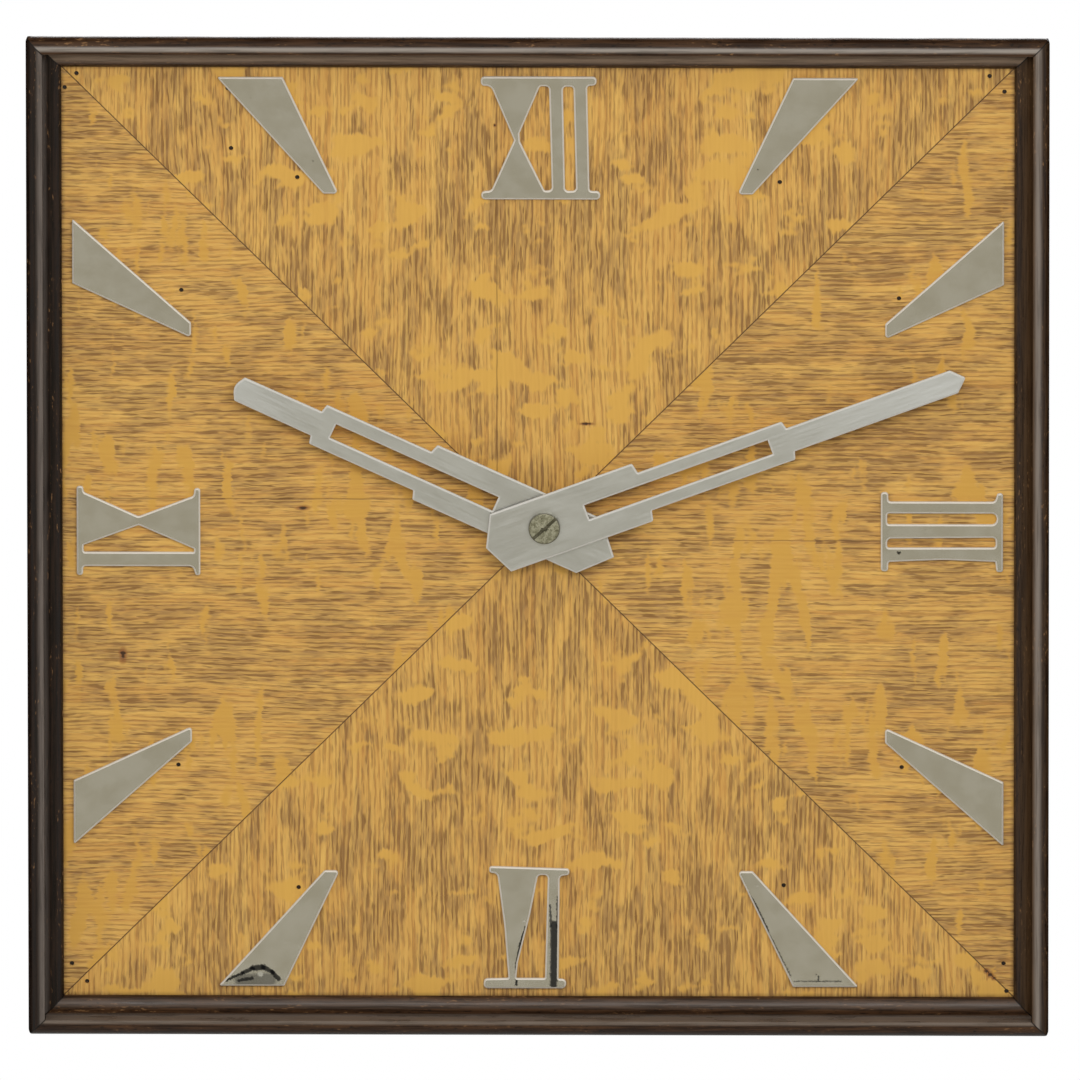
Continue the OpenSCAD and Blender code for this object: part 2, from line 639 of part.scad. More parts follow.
module front_plate() color(brass_yellow) facing() at_spindle() {
  difference() {
    slab(front_plate_back, case_depth) plate_outline();
    rod([0, 0], bush_r, 0, case_depth + 1);
    for (p = [for (i = [1:5]) arbor_places[i]]) rod(p, pivot_r + pivot_gap, 0, case_depth + 1);
    for (p = pillar_places) rod(p, 1.5, 0, case_depth + 1);
  }
  rod(minute_at, stud_r, minute_depth - 1, front_plate_back + hair);
  rod(minute_at, 1.8, hour_depth + hour_thick + 0.9, front_plate_back + hair);
  rod(minute_at, 1.8, minute_depth - 1.2, minute_depth - 0.3);
}

module rear_plate() color(brass_yellow) facing() at_spindle() difference() {
  slab(rear_plate_back, rear_plate_front) plate_outline();
  for (p = [[0, 0], third_at, fourth_at, fifth_at]) rod(p, pivot_r + pivot_gap, 0, case_depth);
  rod(rotor_at, arbor_r + pivot_gap, 0, case_depth);
  rod(set_at, centre_arbor_r + pivot_gap, 0, case_depth);
  for (p = pillar_places) rod(p, 2, 0, case_depth);
  for (p = post_places) rod(p, 1.3, 0, case_depth);
}

// Pillars between the plates, with long rear studs that also carry the dust cover.
cover_wall = 0.8;
cover_inside = cover_back + cover_wall;
module plate_pillars() color(steel_grey) facing() at_spindle() for (p = pillar_places) difference() {
  union() {
    rod(p, 3, rear_plate_front, front_plate_back);
    rod(p, 1.5, front_plate_back - 1, case_depth);
    rod(p, 2, cover_inside, rear_plate_front + 1);
  }
  rod(p, screw_r, cover_inside - 1, cover_back + screw_long + 1);
}
module plate_nuts() color(brass_yellow) facing() at_spindle() for (p = pillar_places) difference() {
  translate(p) slab(rear_plate_back - 2.4, rear_plate_back) hexagon(4);
  rod(p, 2, 0, case_depth);
}

module centre_bush() color(brass_yellow) facing() at_spindle() difference() {
  union() {
    rod([0, 0], bush_r, front_plate_back - 1.4, bush_front);
    rod([0, 0], 7.5, front_plate_back - 1.4, front_plate_back);
  }
  rod([0, 0], bush_bore_r, 0, bush_front + 1);
}
module bush_nut() color(brass_yellow) facing() at_spindle() difference() {
  union() {
    rod([0, 0], 9, dial_face, dial_face + 0.8);
    slab(dial_face + 0.8, dial_face + 3.4) hexagon(8);
  }
  rod([0, 0], bush_r, 0, bush_front + 1);
}

// Going train: each wheel's tooth points to the pinion that drives it.
module centre_wheel() color(brass_yellow) facing() at_spindle() {
  slab(centre_depth, centre_depth + wheel_thick)
    crossed_wheel(big_teeth, train_module, centre_to_third, centre_arbor_r - hair);
  rod([0, 0], 3, centre_depth - 0.8, centre_depth);
  rod([0, 0], centre_arbor_r, rear_plate_front + 0.1, minute_hand_back - 9);
  rod([0, 0], pivot_r, rear_plate_back + 0.1, rear_plate_front + 1);
}
// Three-armed spring washer that lets the cannon pinion slip on the arbor when the hands are set.
module clutch_spring() color(steel_grey) facing() at_spindle() difference() {
  union() {
    rod([0, 0], 3, minute_depth - 0.6, minute_depth - 0.2);
    for (a = [90, 210, 330])
      rotate(a) translate([2.4, -1, minute_depth - 0.6]) rotate([0, 13, 0]) cube([4.4, 2, 0.4]);
  }
  rod([0, 0], centre_arbor_r, 0, case_depth);
}
module third_wheel() color(brass_yellow) facing() at_spindle()
  train_wheel(third_at, third_depth, centre_to_third + 180, third_to_fourth);
module fourth_wheel() color(brass_yellow) facing() at_spindle()
  train_wheel(fourth_at, fourth_depth, third_to_fourth + 180, fourth_to_fifth);
module fifth_wheel() color(brass_yellow) facing() at_spindle()
  train_wheel(fifth_at, fifth_depth, fourth_to_fifth + 180, fifth_to_rotor);

// Rotor: a disc with thirty poles on a spindle that ends in the starting knob.
module pole_slots(r) for (i = [0:pole_count - 1])
  rotate((i + 0.5) * 360 / pole_count) translate([r, -0.6]) square([1.9, 1.2]);
module rotor() color(steel_grey) facing() at_spindle() translate(rotor_at) difference() {
  union() {
    slab(stator_depth + 0.5, stator_depth + stator_thick - 0.5) difference() {
      circle(r = rotor_r);
      circle(r = rotor_r - 4);
      pole_slots(rotor_r - 1.4);
    }
    rod([0, 0], rotor_r - 3.9, stator_depth + 2, stator_depth + 3.2);
    rod([0, 0], 3, stator_depth + 0.5, stator_depth + stator_thick - 0.5);
  }
  rod([0, 0], arbor_r, 0, case_depth);
}
knob_back = 9;
knob_thick = 6;
module rotor_spindle() color(steel_grey) facing() at_spindle() translate(rotor_at) {
  rod([0, 0], arbor_r, knob_back + 1, front_plate_back - 0.1);
  slab(fifth_depth - pinion_over, fifth_depth + wheel_thick + pinion_over)
    leaf_pinion(pinion_teeth, train_module, fifth_to_rotor + 180);
  rod([0, 0], pivot_r, front_plate_back - 1, case_depth - 0.2);
}

// Stator: half rings round the rotor, joined by two arms and the core that the coil sits on.
post_places = [for (s = [-1, 1]) rotor_at + [post_x, s * (arm_out - core_wide / 2)]];
module stator() color(steel_grey) facing() at_spindle() translate(rotor_at)
  slab(stator_depth, stator_depth + stator_thick) difference() {
    union() {
      circle(r = stator_ring_r);
      for (s = [-1, 1])
        translate([0, s * (arm_out - core_wide / 2) - core_wide / 2])
          square([core_x - rotor_at[0] + core_wide / 2, core_wide]);
      translate([core_x - rotor_at[0] - core_wide / 2, -arm_out]) square([core_wide, 2 * arm_out]);
    }
    circle(r = stator_bore_r);
    pole_slots(stator_bore_r - 0.7);
    translate([-stator_ring_r - 1, -1]) square([2 * stator_ring_r + 2, 2]);
    for (p = post_places) translate(p - rotor_at) circle(r = 1.3);
  }
// Posts that hold the stator off the rear plate: a spacer, a screw through it and a head.
module stator_posts() color(brass_yellow) facing() at_spindle() for (p = post_places) {
  rod(p, 2.6, stator_depth + stator_thick, rear_plate_back);
  rod(p, 1.3, stator_depth - 1, rear_plate_front);
  difference() {
    rod(p, 2.6, stator_depth - 1.4, stator_depth);
    translate([p[0], p[1], stator_depth - 1.4]) rotate(30) cube([8, 0.7, 1.2], center = true);
  }
}

coil_at = [core_x, rotor_at[1]];
core_mid = stator_depth + stator_thick / 2;
module coil_block(wide, high, deep)
  translate([coil_at[0], coil_at[1], core_mid]) cube([wide, high, deep], center = true);
module coil_bobbin() color([0.3, 0.16, 0.1]) facing() at_spindle() difference() {
  union() {
    coil_block(core_wide + 2.2, 2 * coil_half, stator_thick + 2.2);
    for (s = [-1, 1]) translate([0, s * (coil_half - 0.6), 0]) coil_block(15.4, 1.2, 12);
  }
  coil_block(core_wide + 0.2, 2 * coil_half + 1, stator_thick + 0.2);
}
module coil_winding() color([0.55, 0.3, 0.15]) facing() at_spindle() difference() {
  coil_block(14.4, 2 * coil_half - 2.4, 11.2);
  coil_block(core_wide + 2.2, 2 * coil_half, stator_thick + 2.2);
}

// Dust cover over the motor, screwed to the pillars' studs.
module movement_cover() color([0.62, 0.6, 0.55]) facing() at_spindle() difference() {
  slab(cover_back, rear_plate_back) plate_outline();
  slab(cover_back + cover_wall, rear_plate_back + 1) intersection() {
    translate([cover_wall, cover_wall]) plate_outline();
    translate([-cover_wall, -cover_wall]) plate_outline();
    translate([cover_wall, -cover_wall]) plate_outline();
    translate([-cover_wall, cover_wall]) plate_outline();
  }
  rod(rotor_at, arbor_r + 1, 0, case_depth);
  rod(set_at, centre_arbor_r + 1, 0, case_depth);
  for (p = pillar_places) rod(p, screw_r, 0, case_depth);
  rod_up([lead_x - spindle_x, lead_depth], 3, plate_low - 1, plate_low + 2);
}

module knob(at, d) translate(at) {
  flutes = 24;
  steps = 4;
  slab(knob_back, knob_back + knob_thick) polygon([for (i = [0:flutes * steps - 1])
    polar(d / 2 - 0.25 + 0.25 * cos(i * 360 / steps), i * 360 / flutes / steps)]);
}
module set_knob() color(brass_yellow) facing() at_spindle() difference() {
  knob(set_at, set_knob_d);
  rod(set_at, centre_arbor_r, knob_back + 1, case_depth);
}
module set_arbor() color(steel_grey) facing() at_spindle() translate(set_at) {
  rod([0, 0], centre_arbor_r, knob_back + 1, front_plate_back - 0.1);
  slab(minute_depth, minute_depth + minute_thick) leaf_pinion(cannon_teeth, minute_module, set_angle + 180);
  rod([0, 0], pivot_r, front_plate_back - 1, case_depth - 0.2);
}
module start_knob() color([0.1, 0.1, 0.1]) facing() at_spindle() difference() {
  knob(rotor_at, start_knob_d);
  rod(rotor_at, arbor_r, knob_back + 1, case_depth);
}

frame_top_rail();
frame_bottom_rail();
frame_left_rail();
frame_right_rail();
dial_board();
dial_veneer_top();
dial_veneer_right();
dial_veneer_bottom();
dial_veneer_left();
case_top();
case_bottom();
case_left();
case_right();
back_boards();
wood_screws();
hanger_plate();
cable_grommet();
terminal_block();
machine_screws();
motor_leads();
numeral_twelve();
numeral_three();
numeral_six();
numeral_nine();
marker_one();
marker_two();
marker_four();
marker_five();
marker_seven();
marker_eight();
marker_ten();
marker_eleven();
dial_pins();
hour_hand();
hour_wheel();
minute_hand();
cannon_pinion();
hand_nut();
minute_wheel();
front_plate();
rear_plate();
plate_pillars();
plate_nuts();
centre_bush();
bush_nut();
centre_wheel();
clutch_spring();
third_wheel();
fourth_wheel();
fifth_wheel();
rotor();
rotor_spindle();
stator();
stator_posts();
coil_bobbin();
coil_winding();
movement_cover();
set_knob();
set_arbor();
start_knob();
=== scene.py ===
import bpy
import numpy as np
from mathutils import Matrix, Vector
from mathutils.geometry import tessellate_polygon


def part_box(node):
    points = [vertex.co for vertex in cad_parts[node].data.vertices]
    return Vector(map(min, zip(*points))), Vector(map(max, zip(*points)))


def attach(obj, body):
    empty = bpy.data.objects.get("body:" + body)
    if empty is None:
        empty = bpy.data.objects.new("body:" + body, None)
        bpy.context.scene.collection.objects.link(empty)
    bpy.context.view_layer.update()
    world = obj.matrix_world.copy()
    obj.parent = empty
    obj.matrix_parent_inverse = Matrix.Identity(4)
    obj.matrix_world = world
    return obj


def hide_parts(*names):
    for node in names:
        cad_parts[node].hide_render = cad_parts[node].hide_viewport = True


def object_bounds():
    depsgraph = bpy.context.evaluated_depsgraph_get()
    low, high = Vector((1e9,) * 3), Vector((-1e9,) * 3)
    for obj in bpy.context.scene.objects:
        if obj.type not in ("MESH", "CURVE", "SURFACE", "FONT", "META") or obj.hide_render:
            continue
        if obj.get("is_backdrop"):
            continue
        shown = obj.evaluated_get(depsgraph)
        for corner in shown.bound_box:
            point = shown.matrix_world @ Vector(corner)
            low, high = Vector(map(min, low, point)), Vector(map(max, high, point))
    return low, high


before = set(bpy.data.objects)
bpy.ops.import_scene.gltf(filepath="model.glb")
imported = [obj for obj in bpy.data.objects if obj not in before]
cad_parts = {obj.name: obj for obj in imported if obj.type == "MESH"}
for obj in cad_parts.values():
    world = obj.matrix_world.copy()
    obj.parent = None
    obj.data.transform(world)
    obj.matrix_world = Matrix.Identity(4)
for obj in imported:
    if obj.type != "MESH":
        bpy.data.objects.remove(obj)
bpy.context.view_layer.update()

print("frame loaded:", len(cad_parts), "nodes")

mm = 0.001  # the tables below are in millimetres, Blender works in metres
dialFace = -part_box("numeral_twelve")[1].y / mm  # depth of the dial's face in front of the wall
handFront = {hand: -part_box(hand)[0].y / mm for hand in ("hour_hand", "minute_hand")}
handBack = {hand: -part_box(hand)[1].y / mm for hand in ("hour_hand", "minute_hand")}
nutLow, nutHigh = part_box("hand_nut")
spindle = ((nutLow.x + nutHigh.x) / 2 / mm, (nutLow.z + nutHigh.z) / 2 / mm)  # right of and above the middle


# Camera: far off and a little above, as the photograph was taken

view = {
    "azimuth": 0.81,  # degrees to the right of straight ahead
    "elevation": 12.6,
    "roll": -0.05,
    "distance": 20.0,  # metres, so far that the sides of the square stay parallel
    "lens": 1681.7,  # millimetres, on a film 36 mm wide
    "aim": (0.67, -65.2, -3.1),  # millimetres, the point at the middle of the picture
}


def makeCamera(look):
    # The way to the camera is the unit vector of azimuth and elevation; its frame is built from that and the roll
    azimuth, elevation, roll = np.radians([look["azimuth"], look["elevation"], look["roll"]])
    back = np.array([np.sin(azimuth) * np.cos(elevation), -np.cos(azimuth) * np.cos(elevation), np.sin(elevation)])
    right = np.cross(-back, (0, 0, 1))
    right /= np.linalg.norm(right)
    up = np.cross(right, -back)
    turnedRight = right * np.cos(roll) + up * np.sin(roll)
    turnedUp = up * np.cos(roll) - right * np.sin(roll)
    place = np.array(look["aim"]) * mm + back * look["distance"]
    data = bpy.data.cameras.new("camera")
    data.lens = look["lens"]
    data.sensor_width = 36
    data.clip_end = 60
    camera = bpy.data.objects.new("camera", data)
    camera.matrix_world = Matrix([(*row, at) for row, at in zip(np.array([turnedRight, turnedUp, back]).T, place)]
                                 + [(0, 0, 0, 1)])
    bpy.context.scene.collection.objects.link(camera)
    bpy.context.scene.camera = camera


makeCamera(view)
print("camera placed")


# Small helpers for materials

smooth = {"interpolation_type": "SMOOTHSTEP"}  # settings that many nodes share
mixed = {"data_type": "RGBA", "out": 2}
product, difference = {"operation": "MULTIPLY"}, {"operation": "SUBTRACT"}
absolute, larger = {"operation": "ABSOLUTE"}, {"operation": "MAXIMUM"}


def linear(hexColour):
    # sRGB to linear light: c / 12.92 for dark values, ((c + 0.055) / 1.055) ** 2.4 for the rest
    c = np.array([int(hexColour[i:i + 2], 16) for i in (0, 2, 4)]) / 255
    return (*np.where(c <= 0.04045, c / 12.92, ((c + 0.055) / 1.055) ** 2.4).tolist(), 1)


def feed(tree, node, inputs):
    # Gives each input what is meant for it: a socket is linked, a hex string is a colour, all else is a value
    for socket, given in inputs.items():
        if isinstance(given, bpy.types.NodeSocket):
            tree.links.new(given, node.inputs[socket])
        else:
            node.inputs[socket].default_value = linear(given) if isinstance(given, str) else given


def addNode(tree, kind, inputs=None, out=0, **settings):
    # Adds one node with its settings and inputs, and hands back the output asked for, or "all" of them
    node = tree.nodes.new("ShaderNode" + kind)
    for name, value in settings.items():
        setattr(node, name, value)
    feed(tree, node, inputs or {})
    return node.outputs if out == "all" else node.outputs[out]


def startMaterial(name, surface):
    # A material with one principled shader; what is the same all over is set on the shader's own sockets
    material = bpy.data.materials.new(name)
    material.use_nodes = True
    shader = material.node_tree.nodes["Principled BSDF"]
    feed(material.node_tree, shader, surface)
    return material, material.node_tree, shader


def paintOver(tree, colour, coats):
    # Lays each coat's colour over what is there by its share: below * (1 - share) + above * share
    for share, above in coats:
        colour = addNode(tree, "Mix", {0: share, 6: colour, 7: above}, **mixed)
    return colour


def grainAxes(tree, grain, shift, depthMm=None):
    # The object's own coordinates, as a vector of across the grain, along it, and a shift that picks another
    # board. With depthMm the pattern also changes that many millimetres further into the wood.
    place = addNode(tree, "TexCoord", out="Object")
    x, y, z = addNode(tree, "SeparateXYZ", {0: place}, out="all")
    across, along = (x, z) if grain == "upright" else (z, x)
    if depthMm:
        shift = addNode(tree, "Math", {0: y, 1: 1 / (depthMm * mm), 2: shift}, operation="MULTIPLY_ADD")
    return addNode(tree, "CombineXYZ", {0: across, 1: along, 2: shift}), across, along, place


def noiseAlong(tree, axes, acrossMm, alongMm, detail=2.0, roughness=0.5):
    # Noise whose grains are about that many millimetres across and along
    scale = (1 / (acrossMm * mm), 1 / (alongMm * mm), 1.0)
    scaled = addNode(tree, "VectorMath", {0: axes, 1: scale}, **product)
    return addNode(tree, "TexNoise", {"Vector": scaled, "Scale": 1.0, "Detail": detail, "Roughness": roughness})


def lineShare(tree, distance, innerMm, outerMm, share):
    # The share of a drawn line: whole up to innerMm on either side of it, none from outerMm on
    side = addNode(tree, "Math", {0: distance}, **absolute)
    return addNode(tree, "MapRange", {0: side, 1: innerMm * mm, 2: outerMm * mm, 3: share, 4: 0.0}, **smooth)


# Woods

oakLook = {
    "light": "e5b762", "mid": "c9924a", "shade": "9d7a4c", "pore": "694220", "fleck": "dcab50", "amber": "d3a147",
    # the grime colour is painted shade along the frame's lip
    "knotStain": "8a4a20", "lipShade": "4a2f16", "glue": "3d2512",
    "ring": 2.15,  # one year's growth, in millimetres
    "drift": 1.6,  # millimetres that the grain wanders sideways
    "uneven": 1.4,  # millimetres that a year's line strays
    "poreWide": 0.75, "poreLong": 7.5,  # millimetres; real pores are 0.3 wide, too fine to show
    "fleckSize": {"upright": (15, 10), "level": (23, 7.5)}, "fleckJag": 0.6,  # across and along the grain
    "zone": 60,  # millimetres over which the flecks come thick or thin
    "mitre": 0.28,  # half width of the dark glue line on the diagonals
    "seam": 0.4,  # how strongly the seams between the leaves show
    "lipShadeFrom": 186.8, "lipShadeTo": 188.8,  # millimetres from the middle, up to the frame's lip, where painted shade darkens the veneer
}


def quarterSawnOak(name, grain, shift, look, seams, amber, knots):
    # Quarter-sawn oak veneer under old satin varnish: golden, with dark dashes where the pores were cut
    # lengthwise, and smooth pale flecks across the grain where the rays were cut
    material, tree, shader = startMaterial(name, {"IOR": 1.5, "Specular IOR Level": 0.35})
    axes, across, _, place = grainAxes(tree, grain, shift)
    # The grain wanders a little sideways as it runs
    drift = addNode(tree, "MapRange", {0: noiseAlong(tree, axes, 50, 120), 1: 0.2, 2: 0.8,
                                       3: -look["drift"] * mm, 4: look["drift"] * mm}, **smooth)
    bent = addNode(tree, "VectorMath", {0: axes, 1: addNode(tree, "CombineXYZ", {0: drift})})
    # Years of growth: sin(2 pi place / ring) across the grain, its spacing made uneven by slow noise
    uneven = addNode(tree, "MapRange", {0: noiseAlong(tree, bent, 6, 160), 1: 0.2, 2: 0.8,
                                        3: -look["uneven"] * mm, 4: look["uneven"] * mm}, **smooth)
    years = addNode(tree, "Math", {0: addNode(tree, "SeparateXYZ", {0: bent}), 1: uneven})
    turns = addNode(tree, "Math", {0: years, 1: 2 * np.pi / (look["ring"] * mm)}, **product)
    wave = addNode(tree, "Math", {0: turns}, operation="SINE")
    rings = addNode(tree, "MapRange", {0: wave, 1: -1, 2: 1}, **smooth)
    bands = noiseAlong(tree, bent, 4.5, 110, detail=3)
    fibres = noiseAlong(tree, bent, 0.75, 8.5, detail=2.5)
    # Fleck edges step along the fibres, so their place along the grain jumps from fibre to fibre
    jag = addNode(tree, "MapRange", {0: noiseAlong(tree, axes, 0.9, 300, detail=1), 1: 0.25, 2: 0.75,
                                     3: -look["fleckJag"] * mm, 4: look["fleckJag"] * mm}, **smooth)
    stepped = addNode(tree, "VectorMath", {0: axes, 1: addNode(tree, "CombineXYZ", {1: jag})})
    # Flecks and dark streaks come in zones: where the flecks are thick the streaks are thin
    zone = addNode(tree, "MapRange", {0: noiseAlong(tree, axes, look["zone"], look["zone"], detail=1),
                                      1: 0.35, 2: 0.65, 3: -0.06, 4: 0.06}, **smooth)
    fleckNoise = noiseAlong(tree, stepped, *look["fleckSize"][grain], detail=2.0, roughness=0.45)
    flecked = addNode(tree, "Math", {0: fleckNoise, 1: zone})
    flecks = addNode(tree, "MapRange", {0: flecked, 1: 0.57, 2: 0.66}, **smooth)
    crowdNoise = noiseAlong(tree, stepped, 6, 19, detail=3, roughness=0.6)
    crowd = addNode(tree, "MapRange", {0: addNode(tree, "Math", {0: crowdNoise, 1: zone}, **difference),
                                       1: 0.4, 2: 0.62}, **smooth)
    # Pores are dashes of fine noise, more of them late in each year, none on a fleck
    lateness = addNode(tree, "MapRange", {0: rings, 3: -0.09, 4: 0.09}, **smooth)
    dashNoise = noiseAlong(tree, bent, look["poreWide"], look["poreLong"], detail=1.0)
    openings = addNode(tree, "Math", {0: dashNoise, 1: lateness})
    dashes = addNode(tree, "MapRange", {0: openings, 1: 0.5, 2: 0.66}, **smooth)
    bare = addNode(tree, "Math", {0: 1.0, 1: flecks}, **difference)
    thick = addNode(tree, "MapRange", {0: crowd, 3: 0.55, 4: 1.0}, **smooth)
    pores = addNode(tree, "Math", {0: addNode(tree, "Math", {0: dashes, 1: bare}, **product), 1: thick}, **product)
    # The wood's tone is the sum of its bands, fibres and rings
    bandTone = addNode(tree, "MapRange", {0: bands, 1: 0.3, 2: 0.7, 4: 0.4}, **smooth)
    fibreTone = addNode(tree, "MapRange", {0: fibres, 1: 0.38, 2: 0.66, 4: 0.35}, **smooth)
    ringTone = addNode(tree, "MapRange", {0: rings, 4: 0.25}, **smooth)
    tone = addNode(tree, "Math", {0: addNode(tree, "Math", {0: bandTone, 1: fibreTone}), 1: ringTone})
    crowdShare = addNode(tree, "Math", {
        0: addNode(tree, "Math", {0: crowd, 1: bare}, **product),
        1: addNode(tree, "MapRange", {0: fibres, 1: 0.3, 2: 0.7, 3: 0.25, 4: 0.75}, **smooth)}, **product)
    fleckShare = addNode(tree, "Math", {
        0: flecks, 1: addNode(tree, "MapRange", {0: bands, 1: 0.2, 2: 0.8, 3: 0.9, 4: 0.6}, **smooth)}, **product)
    poreShare = addNode(tree, "Math", {
        0: pores, 1: addNode(tree, "MapRange", {0: fibres, 1: 0.3, 2: 0.65, 3: 0.75, 4: 0.4}, **smooth)}, **product)
    coats = [(tone, look["mid"]), (crowdShare, look["shade"]), (fleckShare, look["amber" if amber else "fleck"]),
             (poreShare, look["pore"])]
    x, _, z = addNode(tree, "SeparateXYZ", {0: place}, out="all")
    sizes = {0: addNode(tree, "Math", {0: x}, **absolute), 1: addNode(tree, "Math", {0: z}, **absolute)}
    lines = lineShare(tree, addNode(tree, "Math", sizes, **difference),
                      0.5 * look["mitre"], 1.6 * look["mitre"], 0.85)
    for seam in seams:  # where two leaves of the veneer meet, a thin brown line
        gap = addNode(tree, "Math", {0: across, 1: seam * mm}, **difference)
        wander = addNode(tree, "MapRange", {0: fibres, 3: -0.25 * mm, 4: 0.25 * mm}, **smooth)
        line = lineShare(tree, addNode(tree, "Math", {0: gap, 1: wander}), 0.12, 0.45, look["seam"])
        lines = addNode(tree, "Math", {0: lines, 1: line}, **larger)
    for right, up, halfWide, halfHigh in knots:  # splits and small knots: the distance is 1 at an ellipse's edge
        middle = (right * mm, -dialFace * mm, up * mm)
        scale = (1 / (halfWide * mm), 1 / (halfWide * mm), 1 / (halfHigh * mm))
        off = addNode(tree, "VectorMath", {0: place, 1: middle}, **difference)
        away = addNode(tree, "VectorMath", {0: addNode(tree, "VectorMath", {0: off, 1: scale}, **product)},
                       out="Value", operation="LENGTH")
        ragged = addNode(tree, "MapRange", {0: fibres, 1: 0.3, 2: 0.7, 3: -0.25, 4: 0.35}, **smooth)
        torn = addNode(tree, "Math", {0: away, 1: ragged})
        halo = addNode(tree, "MapRange", {0: torn, 1: 1.0, 2: 1.9, 3: 0.6, 4: 0.0}, **smooth)
        coats.append((halo, look["knotStain"]))
        hole = addNode(tree, "MapRange", {0: torn, 1: 0.5, 2: 1.1, 3: 0.97, 4: 0.0}, **smooth)
        lines = addNode(tree, "Math", {0: lines, 1: hole}, **larger)
    # Painted shade darkens the veneer along the frame's lip
    reach = addNode(tree, "Math", sizes, **larger)
    lipShade = addNode(tree, "MapRange",
                    {0: reach, 1: look["lipShadeFrom"] * mm, 2: look["lipShadeTo"] * mm, 4: 0.6}, **smooth)
    patchy = addNode(tree, "MapRange", {0: bands, 1: 0.3, 2: 0.7, 3: 0.6, 4: 1.0}, **smooth)
    coats += [(addNode(tree, "Math", {0: lipShade, 1: patchy}, **product), look["lipShade"]), (lines, look["glue"])]
    fine = addNode(tree, "Bump", {"Height": fibres, "Distance": 0.04 * mm, "Strength": 1.0})
    deep = addNode(tree, "Math", {0: pores, 1: lines}, **larger)
    feed(tree, shader, {
        "Base Color": paintOver(tree, look["light"], coats),
        "Roughness": addNode(tree, "MapRange", {0: pores, 3: 0.42, 4: 0.7}, **smooth),
        "Normal": addNode(tree, "Bump", {"Height": deep, "Distance": -0.16 * mm, "Strength": 1.0, "Normal": fine})})
    return material


# Knots and splits are given by how far right and up of the middle they are, half their width and half their
# height, all in millimetres. The slit is where a mitre has opened near its corner. Seams are given by how far
# they are from the middle.
slit = [(177.9, -178.1, 0.9, 0.9), (179.4, -179.6, 1.0, 1.0), (180.8, -181, 0.8, 0.8)]
veneers = {
    "dial_veneer_top": {"name": "goldenOakTop", "grain": "upright", "shift": 0.3, "amber": False,
                        "seams": [-16.3], "knots": [(19.1, 44.1, 2.3, 0.5), (-17, 165, 0.6, 0.6)]},
    "dial_veneer_bottom": {"name": "goldenOakBottom", "grain": "upright", "shift": 7.7, "amber": False,
                           "seams": [], "knots": [(29, -24.3, 0.9, 1.0)] + slit},
    "dial_veneer_left": {"name": "goldenOakLeft", "grain": "level", "shift": 3.1, "amber": True,
                         "seams": [13.4], "knots": [(-93.3, 9.7, 2.1, 0.8), (-164.8, -50.2, 1.2, 2.3)]},
    "dial_veneer_right": {"name": "goldenOakRight", "grain": "level", "shift": 5.4, "amber": True,
                          "seams": [-3.2], "knots": slit},
}


def ebonisedOak(name, grain, shift, base, worn, wearAndPaintedLight):
    # Oak moulding stained black-brown and rubbed to a semi-gloss: nearly black in the hollows, a warm
    # brown where the stain has worn, long soft reflections along the rounded edges. Bands along the crests and humps
    # are painted highlights, partly rubbed wear, and one along the bottom rail's outer edge is painted shade
    material, tree, shader = startMaterial(name, {"IOR": 1.5, "Specular IOR Level": 0.2})
    axes, across, along, _ = grainAxes(tree, grain, shift, 6)
    streaks = noiseAlong(tree, axes, 0.9, 22, detail=3)
    patches = noiseAlong(tree, axes, 4, 30, detail=3, roughness=0.65)
    specks = noiseAlong(tree, axes, 0.7, 2.6, detail=2)
    paleSpecks = addNode(tree, "Math", {
        0: addNode(tree, "MapRange", {0: specks, 1: 0.6, 2: 0.7}, **smooth),
        1: addNode(tree, "MapRange", {0: patches, 1: 0.48, 2: 0.62}, **smooth)}, **product)
    coats = [(addNode(tree, "MapRange", {0: streaks, 1: 0.35, 2: 0.7}, **smooth), worn),
             (addNode(tree, "MapRange", {0: patches, 1: 0.5, 2: 0.72, 4: 0.85}, **smooth), worn),
             (paleSpecks, "7d5c3c"),
             (addNode(tree, "MapRange", {0: specks, 1: 0.3, 2: 0.4, 3: 0.75, 4: 0.0}, **smooth), "120b07")]
    sizes = {0: addNode(tree, "Math", {0: across}, **absolute), 1: addNode(tree, "Math", {0: along}, **absolute)}
    fromMiddle = addNode(tree, "Math", sizes, **larger)
    patchy = addNode(tree, "MapRange", {0: streaks, 1: 0.25, 2: 0.6, 3: 0.6, 4: 1.0}, **smooth)
    for middle, reach, share, shade in wearAndPaintedLight:  # bands of painted highlight along the crests and humps, partly rubbed wear; the darkest is painted shade
        off = addNode(tree, "Math", {0: fromMiddle, 1: middle * mm}, **difference)
        band = lineShare(tree, off, 0.15 * reach, reach, share)
        coats.append((addNode(tree, "Math", {0: band, 1: patchy}, **product), shade))
    joint = lineShare(tree, addNode(tree, "Math", sizes, **difference), 0.15, 0.5, 0.9)
    coats.append((joint, "080504"))  # the open glue line of the mitre
    uneven = addNode(tree, "Bump", {"Height": patches, "Distance": 0.3 * mm, "Strength": 0.4})
    feed(tree, shader, {
        "Base Color": paintOver(tree, base, coats),
        "Roughness": addNode(tree, "MapRange", {0: streaks, 1: 0.3, 2: 0.7, 3: 0.24, 4: 0.4}, **smooth),
        "Normal": addNode(tree, "Bump", {"Height": streaks, "Distance": 0.1 * mm, "Strength": 0.6,
                                         "Normal": uneven})})
    return material


